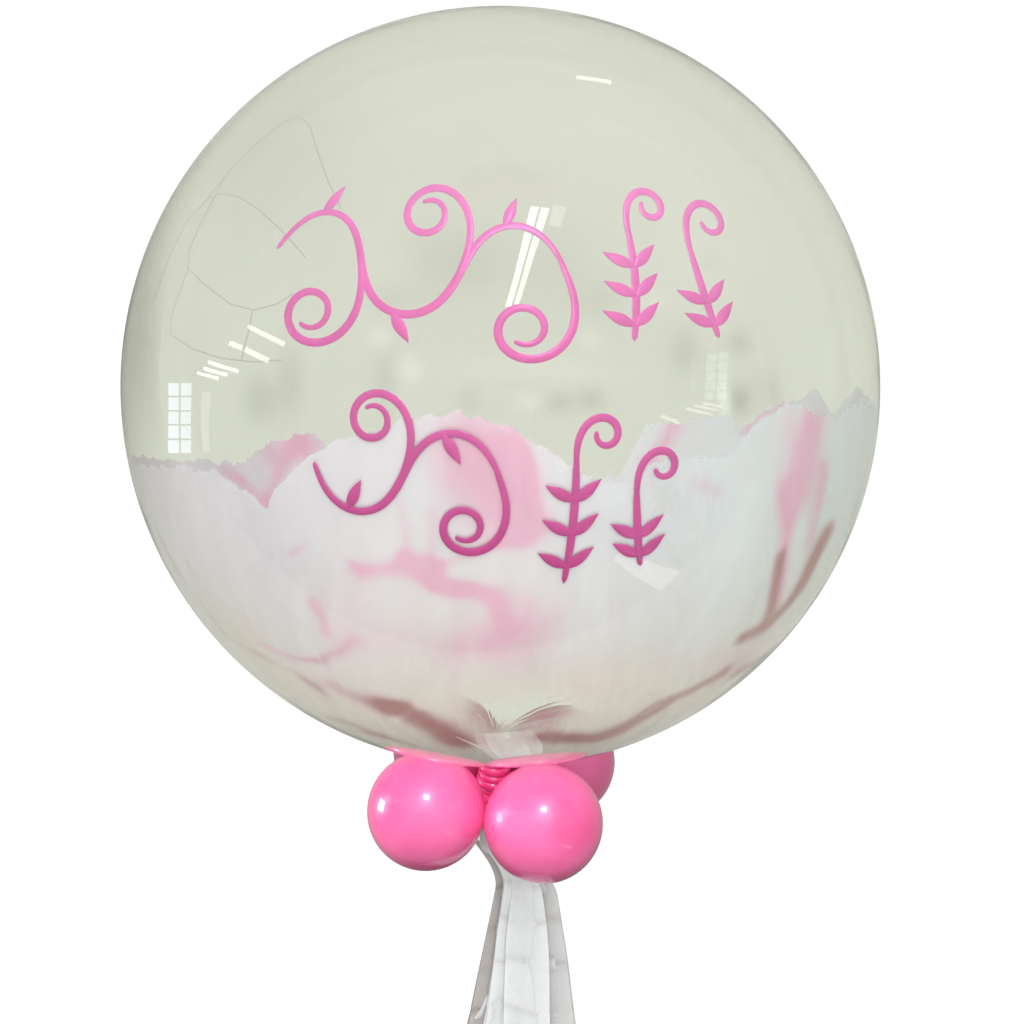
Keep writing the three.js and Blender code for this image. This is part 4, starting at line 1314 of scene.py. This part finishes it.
def make_mirrored_room():
    """The lamps and the window, each where the film shows it: corners in pixels, distance from
    the film, colour and radiance."""
    panels = [("streak", STREAK, LAMP_DISTANCE, "#F2FFFD", 8.0),
              ("second_streak", SECOND_STREAK, LAMP_DISTANCE, "#F2FFFD", 7.0),
              ("short_streak", SHORT_STREAK, LAMP_DISTANCE, WHITE, 2.5),
              ("top_glint", TOP_GLINT, LAMP_DISTANCE, WHITE, 3.0),
              ("soft_glint", SOFT_GLINT, TUBE_DISTANCE, WHITE, 1.9),
              ("light_column", LIGHT_COLUMN, WINDOW_DISTANCE, "#F4F6EC", 1.5)]
    panels += [(f"tube_{k}", corners, TUBE_DISTANCE, WHITE, 5.0)
               for k, corners in enumerate(TUBES)]
    left, top, right, bottom = WINDOW
    across, down = WINDOW_PANES
    for row in range(down):
        for column in range(across):
            x = left + (right - left) * (column + np.array([BAR_ACROSS, 1 - BAR_ACROSS])) / across
            y = top + (bottom - top) * (row + np.array([BAR_DOWN, 1 - BAR_DOWN])) / down
            pane = [(x[0], y[0]), (x[1], y[0]), (x[1], y[1]), (x[0], y[1])]
            panels.append((f"pane_{row}_{column}", pane, WINDOW_DISTANCE, "#DCE8FF", 3.5))
    for name, pixels, distance, colour, radiance in panels:
        glowing(name, mirrored(pixels, distance), colour, radiance, ("glossy", "transmission"))


def area_light(name, place, target, width, radiance):
    """A square area light at a place, facing a target."""
    data = bpy.data.lights.new(name, "AREA")
    data.size = width
    data.energy = radiance * np.pi * width**2
    light = bpy.data.objects.new(name, data)
    back = unit(place - target)
    right = unit(np.cross(camera_up, back))
    axes = np.stack([right, np.cross(back, right), back, place], 1)
    light.matrix_world = Matrix(np.vstack([axes, [0, 0, 0, 1]]).tolist())
    bpy.context.scene.collection.objects.link(light)
    return light


def make_small_lamps(paint, front_balls, tassel):
    """Lights that reach one kind of piece alone: its pieces, the way from their middle in right,
    up and back, distance, size, radiance, and whether the pieces shade each other."""
    collar_middle = laid([0, -small_offset, -collar_drop])
    for name, pieces, middle, way, distance, width, radiance, shades in (
            ("paint_fill", [paint], bubble_middle, (-0.10, -0.80, 0.58), 2.0, 1.4, 1.45, True),
            ("tassel_light", [tassel], tassel_head, (0.30, 0.05, 0.90), 1.4, 0.8, 2.8, True),
            ("ball_softbox", front_balls, collar_middle, (0.0, 0.50, 0.85), 2.4, 1.6, 0.6, True),
            ("ball_lamp", front_balls, collar_middle, (0.03, 0.60, 0.83), 2.0, 0.32, 120.0, False),
            ("ball_window", front_balls, collar_middle, (-0.95, 0.10, -0.05), 0.6, 0.13, 48.0,
             False)):
        right, up, back = way
        towards = unit(right * camera_right + up * camera_up - back * camera_forward)
        place = middle + distance * towards
        light = area_light(name, place, middle, width, radiance)
        light.data.use_shadow = shades
        receivers = bpy.data.collections.new(f"lit_by_{name}")
        for piece in pieces:
            receivers.objects.link(piece)
        light.light_linking.receiver_collection = receivers


def make_world():
    """Soft light from all round, stronger from above and behind the camera."""
    world = bpy.data.worlds.new("studio")
    bpy.context.scene.world = world
    world.use_nodes = True
    tree = world.node_tree
    way = add_node(tree, "TexCoord").outputs["Generated"]
    bright_way = unit(0.1 * camera_right + 0.8 * camera_up - 0.6 * camera_forward)
    facing = add_node(tree, "VectorMath", {0: way, 1: bright_way.tolist()},
                      operation="DOT_PRODUCT")
    dimmest, brightest = WORLD_STRENGTHS
    strength = add_node(tree, "MapRange", {
        "Value": facing.outputs["Value"], "From Min": -1.0, "From Max": 1.0,
        "To Min": dimmest, "To Max": brightest})
    background = tree.nodes["Background"]
    background.inputs["Color"].default_value = linear(WHITE)
    tree.links.new(strength.outputs[0], background.inputs["Strength"])


def make_studio(paint, front_balls, tassel):
    """Ground, world, what the film mirrors, one softbox over the camera and the small lamps."""
    make_floor()
    make_room_floor()
    make_mirrored_ground()
    make_world()
    make_mirrored_room()
    key_way = unit(0.20 * camera_up - 0.97 * camera_forward)
    key_place = bubble_middle + SOFTBOX_DISTANCE * key_way
    key = area_light("softbox", key_place, bubble_middle, SOFTBOX_WIDTH, SOFTBOX_RADIANCE)
    key.visible_glossy = False
    key.visible_transmission = False
    make_small_lamps(paint, front_balls, tassel)
    scene = bpy.context.scene
    scene.view_settings.view_transform = "Standard"
    scene.cycles.max_bounces = LIGHT_BOUNCES
    scene.cycles.transmission_bounces = LIGHT_BOUNCES
    scene.cycles.transparent_max_bounces = LIGHT_BOUNCES


make_camera()
make_film(film_material())
paint_piece = make_paint(paint_material())
make_vinyl(vinyl_material())
collar_pieces = make_collar(latex_material())
tassel_piece = make_tassel(paper_material())
front_balls = collar_pieces[2:]
make_studio(paint_piece, front_balls, tassel_piece)
